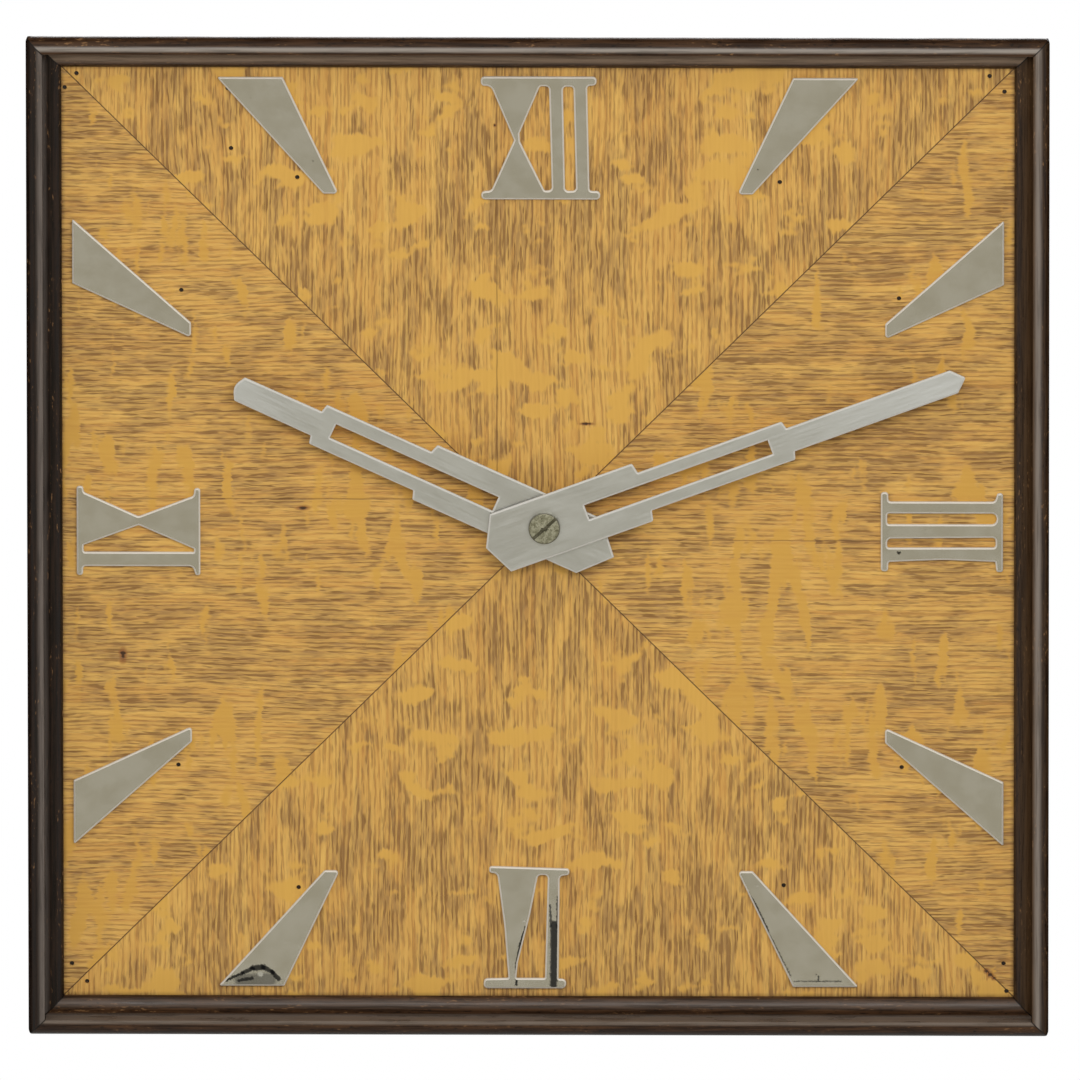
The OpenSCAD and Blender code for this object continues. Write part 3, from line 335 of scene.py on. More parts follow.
rails = {  # bands of painted highlight and rubbed wear, and painted shade on the bottom rail's outer edge: millimetres from the dial's middle, reach in millimetres, share and colour
    "frame_top_rail": {
        "name": "ebonisedOakTop", "grain": "level", "shift": 0.4, "base": "2b1b10", "worn": "47301e",
        "wearAndPaintedLight": [(198.2, 1.5, 0.95, "958c83"), (193.1, 3.5, 0.95, "9a8470")]},
    "frame_bottom_rail": {
        "name": "ebonisedOakBottom", "grain": "level", "shift": 2.9, "base": "2a1a0e", "worn": "4c331f",
        # its first band is painted shade along the outer edge; the grey ones are painted highlights
        "wearAndPaintedLight": [(202.5, 4.0, 0.75, "0e0805"), (196.4, 1.6, 0.9, "776b61"), (191.2, 2.6, 0.45, "6f645d")]},
    "frame_left_rail": {
        "name": "ebonisedOakLeft", "grain": "upright", "shift": 4.2, "base": "150d08", "worn": "281a11",
        "wearAndPaintedLight": [(196.4, 2.8, 0.9, "6f6660")]},
    "frame_right_rail": {
        "name": "ebonisedOakRight", "grain": "upright", "shift": 6.8, "base": "281a10", "worn": "422f1d",
        "wearAndPaintedLight": [(198.0, 2.2, 0.9, "8a8078"), (194.8, 3.8, 0.6, "5a422b")]},
}


def planedWood(name, grain, shift, light, dark, ringMm, roughness, seams=()):
    # Planed softwood, finished thin: straight bands of early and late wood and a fine fibre, and a dark
    # line where one board meets the next
    material, tree, shader = startMaterial(name, {"Roughness": roughness, "IOR": 1.5, "Specular IOR Level": 0.25})
    axes, across, _, _ = grainAxes(tree, grain, shift, ringMm)
    rings = noiseAlong(tree, axes, ringMm, ringMm * 25, detail=3)
    fibres = noiseAlong(tree, axes, 0.8, 18, detail=2)
    smudges = noiseAlong(tree, axes, 45, 60, detail=3)
    coats = [(addNode(tree, "MapRange", {0: rings, 1: 0.45, 2: 0.6}, **smooth), dark),
             (addNode(tree, "MapRange", {0: fibres, 1: 0.35, 2: 0.7, 4: 0.4}, **smooth), dark),
             (addNode(tree, "MapRange", {0: smudges, 1: 0.45, 2: 0.75, 4: 0.3}, **smooth), "4a3524")]
    for seam in seams:
        away = addNode(tree, "Math", {0: across, 1: seam * mm}, **difference)
        coats.append((lineShare(tree, away, 0.2, 0.6, 0.85), "2a1c10"))
    feed(tree, shader, {
        "Base Color": paintOver(tree, light, coats),
        "Normal": addNode(tree, "Bump", {"Height": fibres, "Distance": 0.1 * mm, "Strength": 0.5})})
    return material


stainedPine = {"light": "5f4127", "dark": "452c1a", "ringMm": 3.5, "roughness": 0.6}
boards = {
    "case_top": {"name": "stainedPineTop", "grain": "level", "shift": 1.3, **stainedPine},
    "case_bottom": {"name": "stainedPineBottom", "grain": "level", "shift": 6.1, **stainedPine},
    "case_left": {"name": "stainedPineLeft", "grain": "upright", "shift": 2.6, **stainedPine},
    "case_right": {"name": "stainedPineRight", "grain": "upright", "shift": 8.2, **stainedPine},
    "back_boards": {"name": "barePine", "grain": "upright", "shift": 9.9, "light": "c8a26a", "dark": "a67b48",
                    "ringMm": 3.2, "roughness": 0.65, "seams": [-33, 33]},
}


def birchPlywood(name):
    # Birch plywood, waxed: pale rotary-cut faces with wide soft figure, and thin dark and light plies on
    # every sawn edge
    material, tree, shader = startMaterial(name, {"Roughness": 0.55, "IOR": 1.5})
    plyPair = 3.2  # millimetres from one dark ply to the next
    axes, _, _, place = grainAxes(tree, "upright", 3.0)
    figure = noiseAlong(tree, axes, 14, 120, detail=4, roughness=0.6)
    fibres = noiseAlong(tree, axes, 0.7, 12, detail=2)
    depth = addNode(tree, "SeparateXYZ", {0: place}, out=1)
    turns = addNode(tree, "Math", {0: depth, 1: 2 * np.pi / (plyPair * mm)}, **product)
    wave = addNode(tree, "Math", {0: turns}, operation="SINE")
    plies = addNode(tree, "MapRange", {0: wave, 1: -0.3, 2: 0.3}, **smooth)
    facing = addNode(tree, "SeparateXYZ", {0: addNode(tree, "TexCoord", out="Normal")}, out=1)
    flat = addNode(tree, "Math", {0: facing}, **absolute)
    edge = addNode(tree, "MapRange", {0: flat, 1: 0.4, 2: 0.6, 3: 1.0, 4: 0.0}, **smooth)
    colour = paintOver(tree, "c9a877", [
        (addNode(tree, "MapRange", {0: figure, 1: 0.35, 2: 0.65}, **smooth), "b08c5c"),
        (addNode(tree, "MapRange", {0: fibres, 1: 0.4, 2: 0.8, 4: 0.5}, **smooth), "8f6d44"),
        (addNode(tree, "Math", {0: plies, 1: edge}, **product), "7a5834"),
        (addNode(tree, "MapRange", {0: facing, 1: -0.6, 2: -0.9}, **smooth), "1f130a")])  # old glue under the veneer
    feed(tree, shader, {
        "Base Color": colour,
        "Normal": addNode(tree, "Bump", {"Height": fibres, "Distance": 0.06 * mm, "Strength": 0.5})})
    return material


# Metals

def finishMetal(tree, shader, colour, roughness, rimColour):
    # Where a face tilts away from straight ahead it is a filed rim: pale and dull beside the polished front
    tilt = addNode(tree, "SeparateXYZ", {0: addNode(tree, "NewGeometry", out="True Normal")}, out=1)
    rim = addNode(tree, "MapRange", {0: tilt, 1: -0.99, 2: -0.95}, **smooth)
    rougher = addNode(tree, "MapRange", {0: rim, 4: 0.3}, **smooth)
    feed(tree, shader, {
        "Base Color": paintOver(tree, colour, [(rim, rimColour)]),
        "Roughness": addNode(tree, "Math", {0: roughness, 1: rougher}),
        "Metallic": addNode(tree, "MapRange", {0: rim, 3: 1.0, 4: 0.2}, **smooth)})


def chromePlate(name, shift, tarnishAndReflections=()):
    # Brass plates, chromium plated and long polished: a cool grey mirror with hair scratches, small dents
    # over the pins behind, and a few dark pits where the plating has gone. Dark marks along given lines are partly
    # tarnish and partly painted reflection
    material, tree, shader = startMaterial(name, {})
    axes, _, _, place = grainAxes(tree, "upright", shift)
    cloud = noiseAlong(tree, axes, 11, 9, detail=3, roughness=0.5)
    grit = noiseAlong(tree, axes, 0.7, 0.7, detail=3, roughness=0.7)
    pitAway = addNode(tree, "TexVoronoi", {"Vector": axes, "Scale": 1 / (7 * mm)}, out="Distance")
    dentAway = addNode(tree, "TexVoronoi", {"Vector": axes, "Scale": 1 / (19 * mm)}, out="Distance")
    pits = addNode(tree, "Math", {
        0: addNode(tree, "MapRange", {0: pitAway, 1: 0.015, 2: 0.06, 3: 1.0, 4: 0.0}, **smooth),
        1: addNode(tree, "MapRange", {0: cloud, 1: 0.5, 2: 0.6}, **smooth)}, **product)
    coats = [(addNode(tree, "MapRange", {0: cloud, 1: 0.3, 2: 0.7}, **smooth), "c8c4b7"),
             (addNode(tree, "MapRange", {0: grit, 1: 0.5, 2: 0.8, 4: 0.3}, **smooth), "a39d8e"),
             (pits, "3a332a")]
    ragged = addNode(tree, "MapRange", {0: grit, 1: 0.25, 2: 0.75, 3: -0.35 * mm, 4: 0.35 * mm}, **smooth)
    for x1, z1, x2, z2, radius, share, shade in tarnishAndReflections:
        # A mark round a short line, dark ones partly tarnish and partly painted reflection, a pale one a painted
        # highlight: the distance to its nearest point, start + part * span, where part is the dot product with the
        # span, over the span's length squared, kept between 0 and 1
        start, span = (x1 * mm, -dialFace * mm, z1 * mm), ((x2 - x1) * mm, 0.0, (z2 - z1) * mm)
        fromStart = addNode(tree, "VectorMath", {0: place, 1: start}, **difference)
        level = addNode(tree, "VectorMath", {0: fromStart, 1: (1.0, 0.0, 1.0)}, **product)
        reach = addNode(tree, "VectorMath", {0: level, 1: span}, out="Value", operation="DOT_PRODUCT")
        part = addNode(tree, "MapRange", {0: reach, 1: 0.0, 2: span[0] ** 2 + span[2] ** 2})
        nearest = addNode(tree, "VectorMath", {0: span, "Scale": part}, operation="SCALE")
        away = addNode(tree, "VectorMath", {0: level, 1: nearest}, out="Value", operation="DISTANCE")
        torn = addNode(tree, "Math", {0: away, 1: ragged})
        markShare = addNode(tree, "MapRange", {0: torn, 1: 0.55 * radius * mm, 2: 1.1 * radius * mm,
                                               3: share, 4: 0.0}, **smooth)
        coats.append((markShare, shade))
    finishMetal(tree, shader, paintOver(tree, "d2cfc5", coats),
                addNode(tree, "MapRange", {0: grit, 1: 0.3, 2: 0.8, 3: 0.16, 4: 0.28}, **smooth), "cbc4b9")
    dents = addNode(tree, "MapRange", {0: dentAway, 1: 0.01, 2: 0.06}, **smooth)
    wavy = addNode(tree, "Bump", {"Height": cloud, "Distance": 0.05 * mm, "Strength": 0.2})
    dented = addNode(tree, "Bump", {"Height": dents, "Distance": 0.12 * mm, "Strength": 0.6, "Normal": wavy})
    scratched = addNode(tree, "Bump", {"Height": grit, "Distance": 0.01 * mm, "Strength": 0.3, "Normal": dented})
    feed(tree, shader, {"Normal": scratched})
    return material


def satinNickel(name, turnDegrees):
    # Sheet steel, nickel plated and satin brushed along its length: an even soft grey, the fine lines of the
    # brush along the hand, a few darker touches, and lighter towards the tip, a painted highlight
    material, tree, shader = startMaterial(name, {})
    place = addNode(tree, "TexCoord", out="Object")
    turned = addNode(tree, "Mapping", {0: place, 2: (0, np.radians(90 - turnDegrees), 0)})
    x, _, z = addNode(tree, "SeparateXYZ", {0: turned}, out="all")
    axes = addNode(tree, "CombineXYZ", {0: z, 1: x})
    lines = noiseAlong(tree, axes, 0.45, 18, detail=2)
    cloud = noiseAlong(tree, axes, 12, 30, detail=4, roughness=0.6)
    grit = noiseAlong(tree, axes, 0.8, 1.2, detail=3, roughness=0.7)
    colour = paintOver(tree, "d2d3d0", [
        (addNode(tree, "MapRange", {0: cloud, 1: 0.3, 2: 0.7}, **smooth), "c3c3be"),
        # lighter towards the tip: a painted highlight
        (addNode(tree, "MapRange", {0: x, 1: 0.08, 2: 0.17, 4: 0.75}, **smooth), "e6e9ec"),
        (addNode(tree, "MapRange", {0: lines, 1: 0.5, 2: 0.85, 4: 0.2}, **smooth), "a9a8a2"),
        (addNode(tree, "MapRange", {0: grit, 1: 0.64, 2: 0.75, 4: 0.3}, **smooth), "85827a")])
    finishMetal(tree, shader, colour,
                addNode(tree, "MapRange", {0: lines, 1: 0.3, 2: 0.7, 3: 0.3, 4: 0.42}, **smooth), "c9c7c1")
    feed(tree, shader, {
        "Normal": addNode(tree, "Bump", {"Height": lines, "Distance": 0.015 * mm, "Strength": 0.5})})
    return material


def agedNickel(name):
    # Nickel plate worn down to brass: a mottled yellow-grey face, darker in the slot, on the side wall and towards
    # the rim
    material, tree, shader = startMaterial(name, {"Metallic": 0.85, "Roughness": 0.42})
    place = addNode(tree, "TexCoord", out="Object")
    blotches = addNode(tree, "TexNoise", {"Vector": place, "Scale": 1 / (1.6 * mm), "Detail": 4.0})
    specks = addNode(tree, "TexNoise", {"Vector": place, "Scale": 1 / (0.5 * mm), "Detail": 3.0})
    darkening = addNode(tree, "VertexColor", layer_name="darkening")
    darker = addNode(tree, "MapRange", {0: blotches, 1: 0.35, 2: 0.65}, **smooth)
    speckled = addNode(tree, "MapRange", {0: specks, 1: 0.52, 2: 0.68, 4: 0.8}, **smooth)
    feed(tree, shader, {
        "Base Color": paintOver(tree, "b2b09a", [(darker, "88866f"), (speckled, "5d5945"), (darkening, "3b3628")]),
        "Normal": addNode(tree, "Bump", {"Height": blotches, "Distance": 0.12 * mm, "Strength": 0.5})})
    return material


def workedMetal(name, light, dark, roughness, lineMm):
    # Machined or rolled metal: fine tool lines over slow clouds of tarnish
    material, tree, shader = startMaterial(name, {"Metallic": 1.0})
    axes, _, _, place = grainAxes(tree, "upright", 5.0)
    cloud = addNode(tree, "TexNoise", {"Vector": place, "Scale": 1 / (6 * mm), "Detail": 4.0})
    lines = noiseAlong(tree, axes, lineMm, lineMm * 30, detail=2)
    tarnish = addNode(tree, "MapRange", {0: cloud, 1: 0.35, 2: 0.7}, **smooth)
    rough = {0: lines, 1: 0.3, 2: 0.7, 3: roughness - 0.06, 4: roughness + 0.1}
    feed(tree, shader, {
        "Base Color": paintOver(tree, light, [(tarnish, dark)]),
        "Roughness": addNode(tree, "MapRange", rough, **smooth),
        "Normal": addNode(tree, "Bump", {"Height": lines, "Distance": 0.01 * mm, "Strength": 0.5})})
    return material


def mouldedStuff(name, light, dark, roughness, grainMm, depthMm):
    # Moulded or woven stuff: an even colour broken by a grain of its own size, with a little relief
    material, tree, shader = startMaterial(name, {"Roughness": roughness, "IOR": 1.5})
    place = addNode(tree, "TexCoord", out="Object")
    grains = addNode(tree, "TexNoise", {"Vector": place, "Scale": 1 / (grainMm * mm), "Detail": 3.0})
    cloud = addNode(tree, "TexNoise", {"Vector": place, "Scale": 1 / (9 * mm), "Detail": 3.0})
    grainShare = addNode(tree, "MapRange", {0: grains, 1: 0.35, 2: 0.7}, **smooth)
    cloudShare = addNode(tree, "MapRange", {0: cloud, 1: 0.4, 2: 0.8, 4: 0.5}, **smooth)
    feed(tree, shader, {
        "Base Color": paintOver(tree, light, [(grainShare, dark), (cloudShare, dark)]),
        "Normal": addNode(tree, "Bump", {"Height": grains, "Distance": depthMm * mm, "Strength": 0.6})})
    return material


machined = {  # by the record's slot: name, light and dark colour, roughness, millimetres between tool lines
    "yellow_brass": ("yellowBrass", "d8b46a", "b08a45", 0.3, 0.5),  # rolled and cut brass: warm, brightly lined
    "screw_steel": ("brightScrewSteel", "b9b7ae", "7d7a70", 0.35, 0.4),  # drawn steel: grey, dulled in patches
    "turned_steel": ("turnedSteel", "bcbcbe", "8c8c90", 0.28, 0.3),  # from the lathe: cool and nearly bright
    "motor_iron": ("oiledSoftIron", "6a6866", "45423f", 0.5, 0.6),  # stamped iron under oil: dark, little gloss
    "zinc_sheet": ("zincPlatedSheet", "b5b5b0", "8d8f8c", 0.45, 1.2),  # dipped sheet: pale grey, soft clouds
}
moulded = {  # by the record's slot: name, light and dark colour, roughness, grain and relief in millimetres
    "brown_phenolic": ("brownPhenolic", "38190d", "1f0e08", 0.28, 1.4, 0.02),  # pressed resin: glossy, mottled
    "varnished_tape": ("varnishedCottonTape", "8a5a26", "5c3814", 0.4, 0.7, 0.12),  # amber varnish over a weave
    "braided_cotton": ("cottonCoveredWire", "7c6546", "4c3b27", 0.85, 0.5, 0.15),  # dull, with the braid's grain
    "black_rubber": ("blackRubber", "1c1b1a", "0f0f0f", 0.7, 0.9, 0.05),  # moulded rubber: black and matt
}
finishes = {"birch_plywood": birchPlywood("birchPlywood"),
            **{slot: workedMetal(*how) for slot, how in machined.items()},
            **{slot: mouldedStuff(*how) for slot, how in moulded.items()}}
woodOf = {**{node: quarterSawnOak(look=oakLook, **how) for node, how in veneers.items()},
          **{node: ebonisedOak(**how) for node, how in rails.items()},
          **{node: planedWood(**how) for node, how in boards.items()}}
for nodeName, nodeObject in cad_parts.items():
    for materialSlot in nodeObject.material_slots:
        slotName = materialSlot.material.name.split(".")[0] if materialSlot.material else ""
        finish = woodOf.get(nodeName) or finishes.get(slotName)
        if finish:
            materialSlot.material = finish
print("materials made")


# Plates cut from sheet: the numerals, the markers and the hands

leastRadius = 0.02  # millimetres, so that no corner's arc vanishes


def cornerRing(corners, inset, arcSteps=6):
    # Corner points [x, y, radius], anticlockwise: each corner moves in along its bisector by the inset and is
    # drawn as an arc, whose radius shrinks by the inset where it bulges and grows where it is hollow
    at, radius = corners[:, :2], corners[:, 2]
    ahead = np.roll(at, -1, 0) - at
    ahead /= np.linalg.norm(ahead, axis=1, keepdims=True)
    behind = np.roll(ahead, 1, 0)  # direction of the edge that ends at the corner
    inward = lambda edge: np.stack([-edge[:, 1], edge[:, 0]], 1)
    normals = inward(behind) + inward(ahead)
    moved = at + inset * normals / (1 + np.sum(inward(behind) * inward(ahead), 1, keepdims=True))
    turn = behind[:, 0] * ahead[:, 1] - behind[:, 1] * ahead[:, 0]
    rounding = np.maximum(radius - inset * np.sign(turn), leastRadius)
    halfAngle = np.arccos(np.clip(-np.sum(behind * ahead, 1), -1, 1)) / 2
    bisector = normals * np.sign(turn)[:, None]
    bisector /= np.linalg.norm(bisector, axis=1, keepdims=True)
    middle = moved + bisector * (rounding / np.sin(halfAngle))[:, None]
    start = moved - behind * (rounding / np.tan(halfAngle))[:, None] - middle
    end = moved + ahead * (rounding / np.tan(halfAngle))[:, None] - middle
    first = np.arctan2(start[:, 1], start[:, 0])
    sweep = np.arctan2(start[:, 0] * end[:, 1] - start[:, 1] * end[:, 0], np.sum(start * end, 1))
    angles = first[:, None] + sweep[:, None] * np.linspace(0, 1, arcSteps + 1)
    arcs = middle[:, None] + rounding[:, None, None] * np.stack([np.cos(angles), np.sin(angles)], 2)
    return arcs.reshape(-1, 2)


def anticlockwise(corners):
    corners = np.array(corners, float)
    x, y = corners[:, 0], corners[:, 1]
    return corners if np.sum(x * np.roll(y, -1) - np.roll(x, -1) * y) > 0 else corners[::-1]


def sheetPlate(name, outlines, back, front, rim, place=lambda points: points):
    # A plate from back to front, first outline outside and the others as openings. Its rim rounds over: at a
    # share s of the rim's width the height is front - drop * (1 - s) ** 1.15, a filed edge, nearly flat
    shares = np.array([0, 0.3, 0.6, 0.85, 0.96, 1])
    insets = np.concatenate([[0], rim["wide"] * shares])
    heights = np.concatenate([[back], front - rim["drop"] * (1 - shares) ** 1.15])
    points, quads, backRings, frontRings = np.empty((0, 3)), [], [], []
    for index, outline in enumerate(outlines):
        corners = anticlockwise(outline)
        rings = np.array([place(cornerRing(corners, -inset if index else inset)) for inset in insets])
        if index:
            rings = rings[:, ::-1]
        depths = np.broadcast_to(-heights[:, None], rings.shape[:2])
        grid = len(points) + np.arange(depths.size).reshape(depths.shape)
        points = np.concatenate([points, np.stack([rings[..., 0], depths, rings[..., 1]], 2).reshape(-1, 3) * mm])
        ahead = np.roll(grid, -1, 1)
        quads += np.stack([grid[:-1], ahead[:-1], ahead[1:], grid[1:]], 2).reshape(-1, 4).tolist()
        backRings.append(grid[0])
        frontRings.append(grid[-1])
    triangles = []
    for rings, towardFront in ((backRings, False), (frontRings, True)):
        level = [np.insert(points[ring][:, [0, 2]], 2, 0, 1) for ring in rings]
        cap = np.concatenate(rings)[np.array(tessellate_polygon([list(map(Vector, loop)) for loop in level]))]
        a, b, c = points[cap[:, 0]], points[cap[:, 1]], points[cap[:, 2]]
        area = (b - a)[:, 0] * (c - a)[:, 2] - (c - a)[:, 0] * (b - a)[:, 2]
        turned = (area > 0) != towardFront
        cap[turned] = cap[turned][:, [0, 2, 1]]
        triangles += cap.tolist()
    mesh = bpy.data.meshes.new(name)
    mesh.from_pydata(points.tolist(), [], quads + triangles)
    mesh.validate()
    piece = bpy.data.objects.new(name, mesh)
    bpy.context.scene.collection.objects.link(piece)
    return piece


# Outlines of the numerals: corner points [x, y, radius] in millimetres, the outer one first
numerals = {
    "numeral_twelve": [
        [[-22.6, 184.9, 1.5], [23.2, 184.9, 1.5], [23.2, 181.5, 1.5], [19.5, 181.3, 1.2], [20.4, 138.7, 1],
         [24.6, 138.6, 1.5], [24.6, 135.3, 1.5], [-22.4, 135.3, 1.5], [-22.4, 138.5, 1.5], [-18.5, 138.7, 2],
         [-9.4, 159.2, 1], [-18.6, 181.2, 3], [-22.6, 181.3, 1.5]],
        [[0.8, 181.1, 1], [4.4, 181.1, 1.4], [5.5, 138.8, 1.4], [2.6, 138.8, 1], [-7.1, 158.6, 0.5],
         [-7.3, 162, 0.5]],
        [[9.9, 181, 1.4], [14.1, 181, 1.4], [15.1, 138.7, 1.4], [10.7, 138.7, 1.4]]],
    "numeral_three": [
        [[135.8, 16.8, 1.2], [138.7, 16.8, 1.2], [138.8, 13, 1], [181, 13, 1.4], [182, 16.4, 0.9], [184.2, 16.4, 0.9],
         [184.2, -15.4, 0.9], [181.6, -15.4, 0.9], [181.2, -11.3, 0.6], [160, -10.5, 60], [138.8, -11.4, 0.8],
         [138.7, -15.2, 1.2], [135.8, -15.2, 1.2]],
        [[138.3, 8.3, 0.8], [181.7, 8.3, 2], [181.7, 3.8, 2], [138.3, 3.8, 0.8]],
        [[138.3, -1.9, 1.6], [181.3, -1.5, 1.4], [181.3, -5.6, 1], [138.3, -5.7, 0.8]]],
    "numeral_six": [
        [[-19.6, -135.6, 1.1], [12.2, -136.6, 1.1], [12.2, -139, 1.1], [8.4, -139.5, 1.6], [7.9, -181.4, 0.4],
         [10.9, -181.6, 1.7], [10.9, -185.3, 1.8], [-21.8, -185.3, 1.6], [-21.8, -181.4, 1.6], [-12, -181.2, 0.5],
         [-13.6, -160, 60], [-16.4, -138.4, 2], [-19.6, -138.2, 1.1]],
        [[-0.2, -139.1, 1.5], [3.7, -139.1, 1.4], [2.5, -181.2, 0.4], [-8.9, -181.2, 0.4], [-8.2, -174.6, 8],
         [-3.4, -155.4, 40]]],
    "numeral_nine": [
        [[-183, 18.6, 1], [-180.5, 18.6, 1], [-180.2, 16.2, 1.4], [-158.5, 6.3, 2], [-136.6, 14.7, 1.4],
         [-136.3, 17.8, 1], [-134, 17.8, 1], [-134, -17.4, 0.9], [-135.8, -17.4, 0.8], [-137, -13.8, 2],
         [-180.4, -13.8, 1], [-180.6, -17.4, 1], [-183, -17.4, 1]],
        [[-180.3, -5.2, 0.6], [-158.4, 2.9, 1], [-136.5, -6.7, 0.4], [-136.5, -8.1, 0.4], [-180.3, -8.1, 0.8]]],
}
markerLook = {"out": 184.5, "in": 137.5, "outSide": 114, "inSide": 82, "wide": 26, "narrow": 6, "corner": 0.4,
              "tip": 1.1}
markers = {  # 1 or -1 for right or left and for up or down of the middle, and whether it lies sideways
    "marker_one": (1, 1, False), "marker_two": (1, 1, True), "marker_four": (1, -1, True),
    "marker_five": (1, -1, False), "marker_seven": (-1, -1, False), "marker_eight": (-1, -1, True),
    "marker_ten": (-1, 1, True), "marker_eleven": (-1, 1, False),
}
plateRim = {"wide": 0.62, "drop": 0.29}
tarnishAndReflections = {  # dark marks, partly tarnish and partly painted reflection, and one pale painted highlight: from x, z to x, z, then the radius in millimetres, how strong it is and its colour
    "numeral_six": [
        (-5.1, -160.3, -7.2, -167.2, 0.6, 0.95, "14161c"), (-7.2, -167.2, -8.7, -176, 0.75, 0.95, "14161c"),
        (-8.7, -176, -8.9, -183.8, 0.6, 0.9, "14161c"), (6.2, -159, 5.9, -184, 1.7, 0.9, "181c26"),
        (4.6, -151.5, 4.9, -160, 0.45, 0.8, "2c2f35"), (7.5, -148, 7.3, -162, 0.4, 0.8, "2c2f35")],
    "marker_seven": [
        (-118, -182.4, -107, -182, 3.4, 0.6, "45464a"), (-124, -182.2, -117.5, -179.2, 0.7, 0.9, "17181c"),
        (-117.5, -179.2, -113.5, -177.3, 1.0, 0.9, "17181c"), (-113.5, -177.3, -109.5, -176.8, 1.4, 0.9, "17181c"),
        (-109.5, -176.8, -105.8, -178.8, 1.2, 0.9, "17181c"), (-105.8, -178.8, -103.2, -181.8, 1.0, 0.9, "17181c"),
        # the last mark on the next line is pale: a painted highlight
        (-119, -182.3, -113.8, -181.4, 0.8, 0.85, "1c1d22"), (-110.6, -179.8, -110.4, -179.7, 1.1, 0.9, "dcdcd8")],
    # marker five's marks run along its left and lower rims: painted dark reflection
    "marker_five": [
        (80.6, -141.5, 86.4, -151.5, 0.55, 0.85, "14161c"), (86.4, -151.5, 91.0, -161.5, 0.6, 0.85, "14161c"),
        (91.0, -161.5, 100.3, -180.3, 0.3, 0.7, "3c3c3c"), (101.5, -182.1, 120, -182.1, 0.3, 0.75, "3c3c3c"),
        (111.3, -180.2, 111, -182, 0.35, 0.8, "2a2a2c")],
    "numeral_three": [(142.8, -7.7, 143.0, -7.7, 0.8, 0.9, "2a241d")],
}


def wedge(right, up, sideways, look):
    corners = [(look["outSide"] - look["wide"] / 2, look["out"]), (look["outSide"] + look["wide"] / 2, look["out"]),
               (look["inSide"] + look["narrow"] / 2, look["in"]), (look["inSide"] - look["narrow"] / 2, look["in"])]
    rounding = (look["corner"], look["corner"], look["tip"], look["tip"])
    return [[right * (b if sideways else a), up * (a if sideways else b), r] for (a, b), r in zip(corners, rounding)]


plateOutlines = {**numerals, **{name: [wedge(*how, markerLook)] for name, how in markers.items()}}
for shift, (plateName, outlines) in enumerate(plateOutlines.items()):
    thick = (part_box(plateName)[1].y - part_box(plateName)[0].y) / mm
    plate = sheetPlate("plate_" + plateName, outlines, dialFace, dialFace + thick, plateRim)
    plate.data.materials.append(chromePlate("chromePlate" + plateName.split("_")[1].title(), shift * 1.7,
                                            tarnishAndReflections.get(plateName, ())))
    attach(plate, "clock_case")
    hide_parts(plateName)
print("numerals and markers made")

hands = {
    "minute_hand": {
        "turn": 69.9, "body": "minute_hand_body", "slot": (17.9, 95.3), "bore": 1.6,
        "edge": [[-24.6, 0, 0.3], [-18.5, 12.35, 0.3], [41.5, 12.35, 1], [42.4, 8.1, 0.5], [103, 8.1, 0.8],
                 [103.9, 4.9, 0.4], [172.8, 4.8, 0.6], [177.7, 0, 0.8]]},
    "hour_hand": {
        "turn": 294.6, "body": "hour_hand_body", "slot": (21.3, 92.1), "bore": 3.2,
        "edge": [[-30.3, 0, 0.3], [-19.4, 12.1, 0.3], [52, 12.1, 0.8], [53.2, 8.6, 0.4], [98.6, 8.6, 0.8],
                 [99.4, 5.3, 0.4], [132.8, 5.1, 1], [135.5, 0, 5]]},
}
handRim = {"wide": 0.66, "drop": 0.31}
slotWide = 6.1


def makeHand(name, look):
    # The upper half of the outline is mirrored below the hand's axis, then the hand is turned and moved to the
    # spindle
    upper = look["edge"]
    outline = upper + [[x, -y, r] for x, y, r in upper[-2:0:-1]]
    near, far = look["slot"]
    slot = [[near, -slotWide / 2, 0.1], [far, -slotWide / 2, 0.1],
            [far, slotWide / 2, 0.1], [near, slotWide / 2, 0.1]]
    around = np.linspace(0, 2 * np.pi, 24, endpoint=False)
    bore = [[look["bore"] * np.cos(a), look["bore"] * np.sin(a), 0.05] for a in around]
    turn = np.radians(90 - look["turn"])
    turning = np.array([[np.cos(turn), np.sin(turn)], [-np.sin(turn), np.cos(turn)]])
    hand = sheetPlate("plate_" + name, [outline, slot, bore], handBack[name], handFront[name], handRim,
                      lambda points: points @ turning + spindle)
    hand.data.materials.append(satinNickel("satinNickel" + name.split("_")[0].title(), look["turn"]))
    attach(hand, look["body"])
    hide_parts(name)


for handName, handLook in hands.items():
    makeHand(handName, handLook)
print("hands made")


# The slotted nut

nutLook = {
    "slotHalf": 0.55, "slotDeep": 0.8,  # millimetres, half the slot's width and its depth
    "slotTurn": 42,  # degrees
    "dome": 0.25, "edge": 0.5,  # millimetres that the face falls and that its rim rounds over
    "flare": 0.5, "flareLong": 1.1,  # millimetres that the slot's middle is chewed, and how far along
    "fill": 0.35, "fillLong": 1.3,  # share of the depth that is filled up there, and how far along
    # how much darker the nut is in its slot, on its side wall and towards its rim
    "darkeningInSlot": 0.7, "darkeningOnWall": 0.6, "darkeningAtRim": 0.75,
}


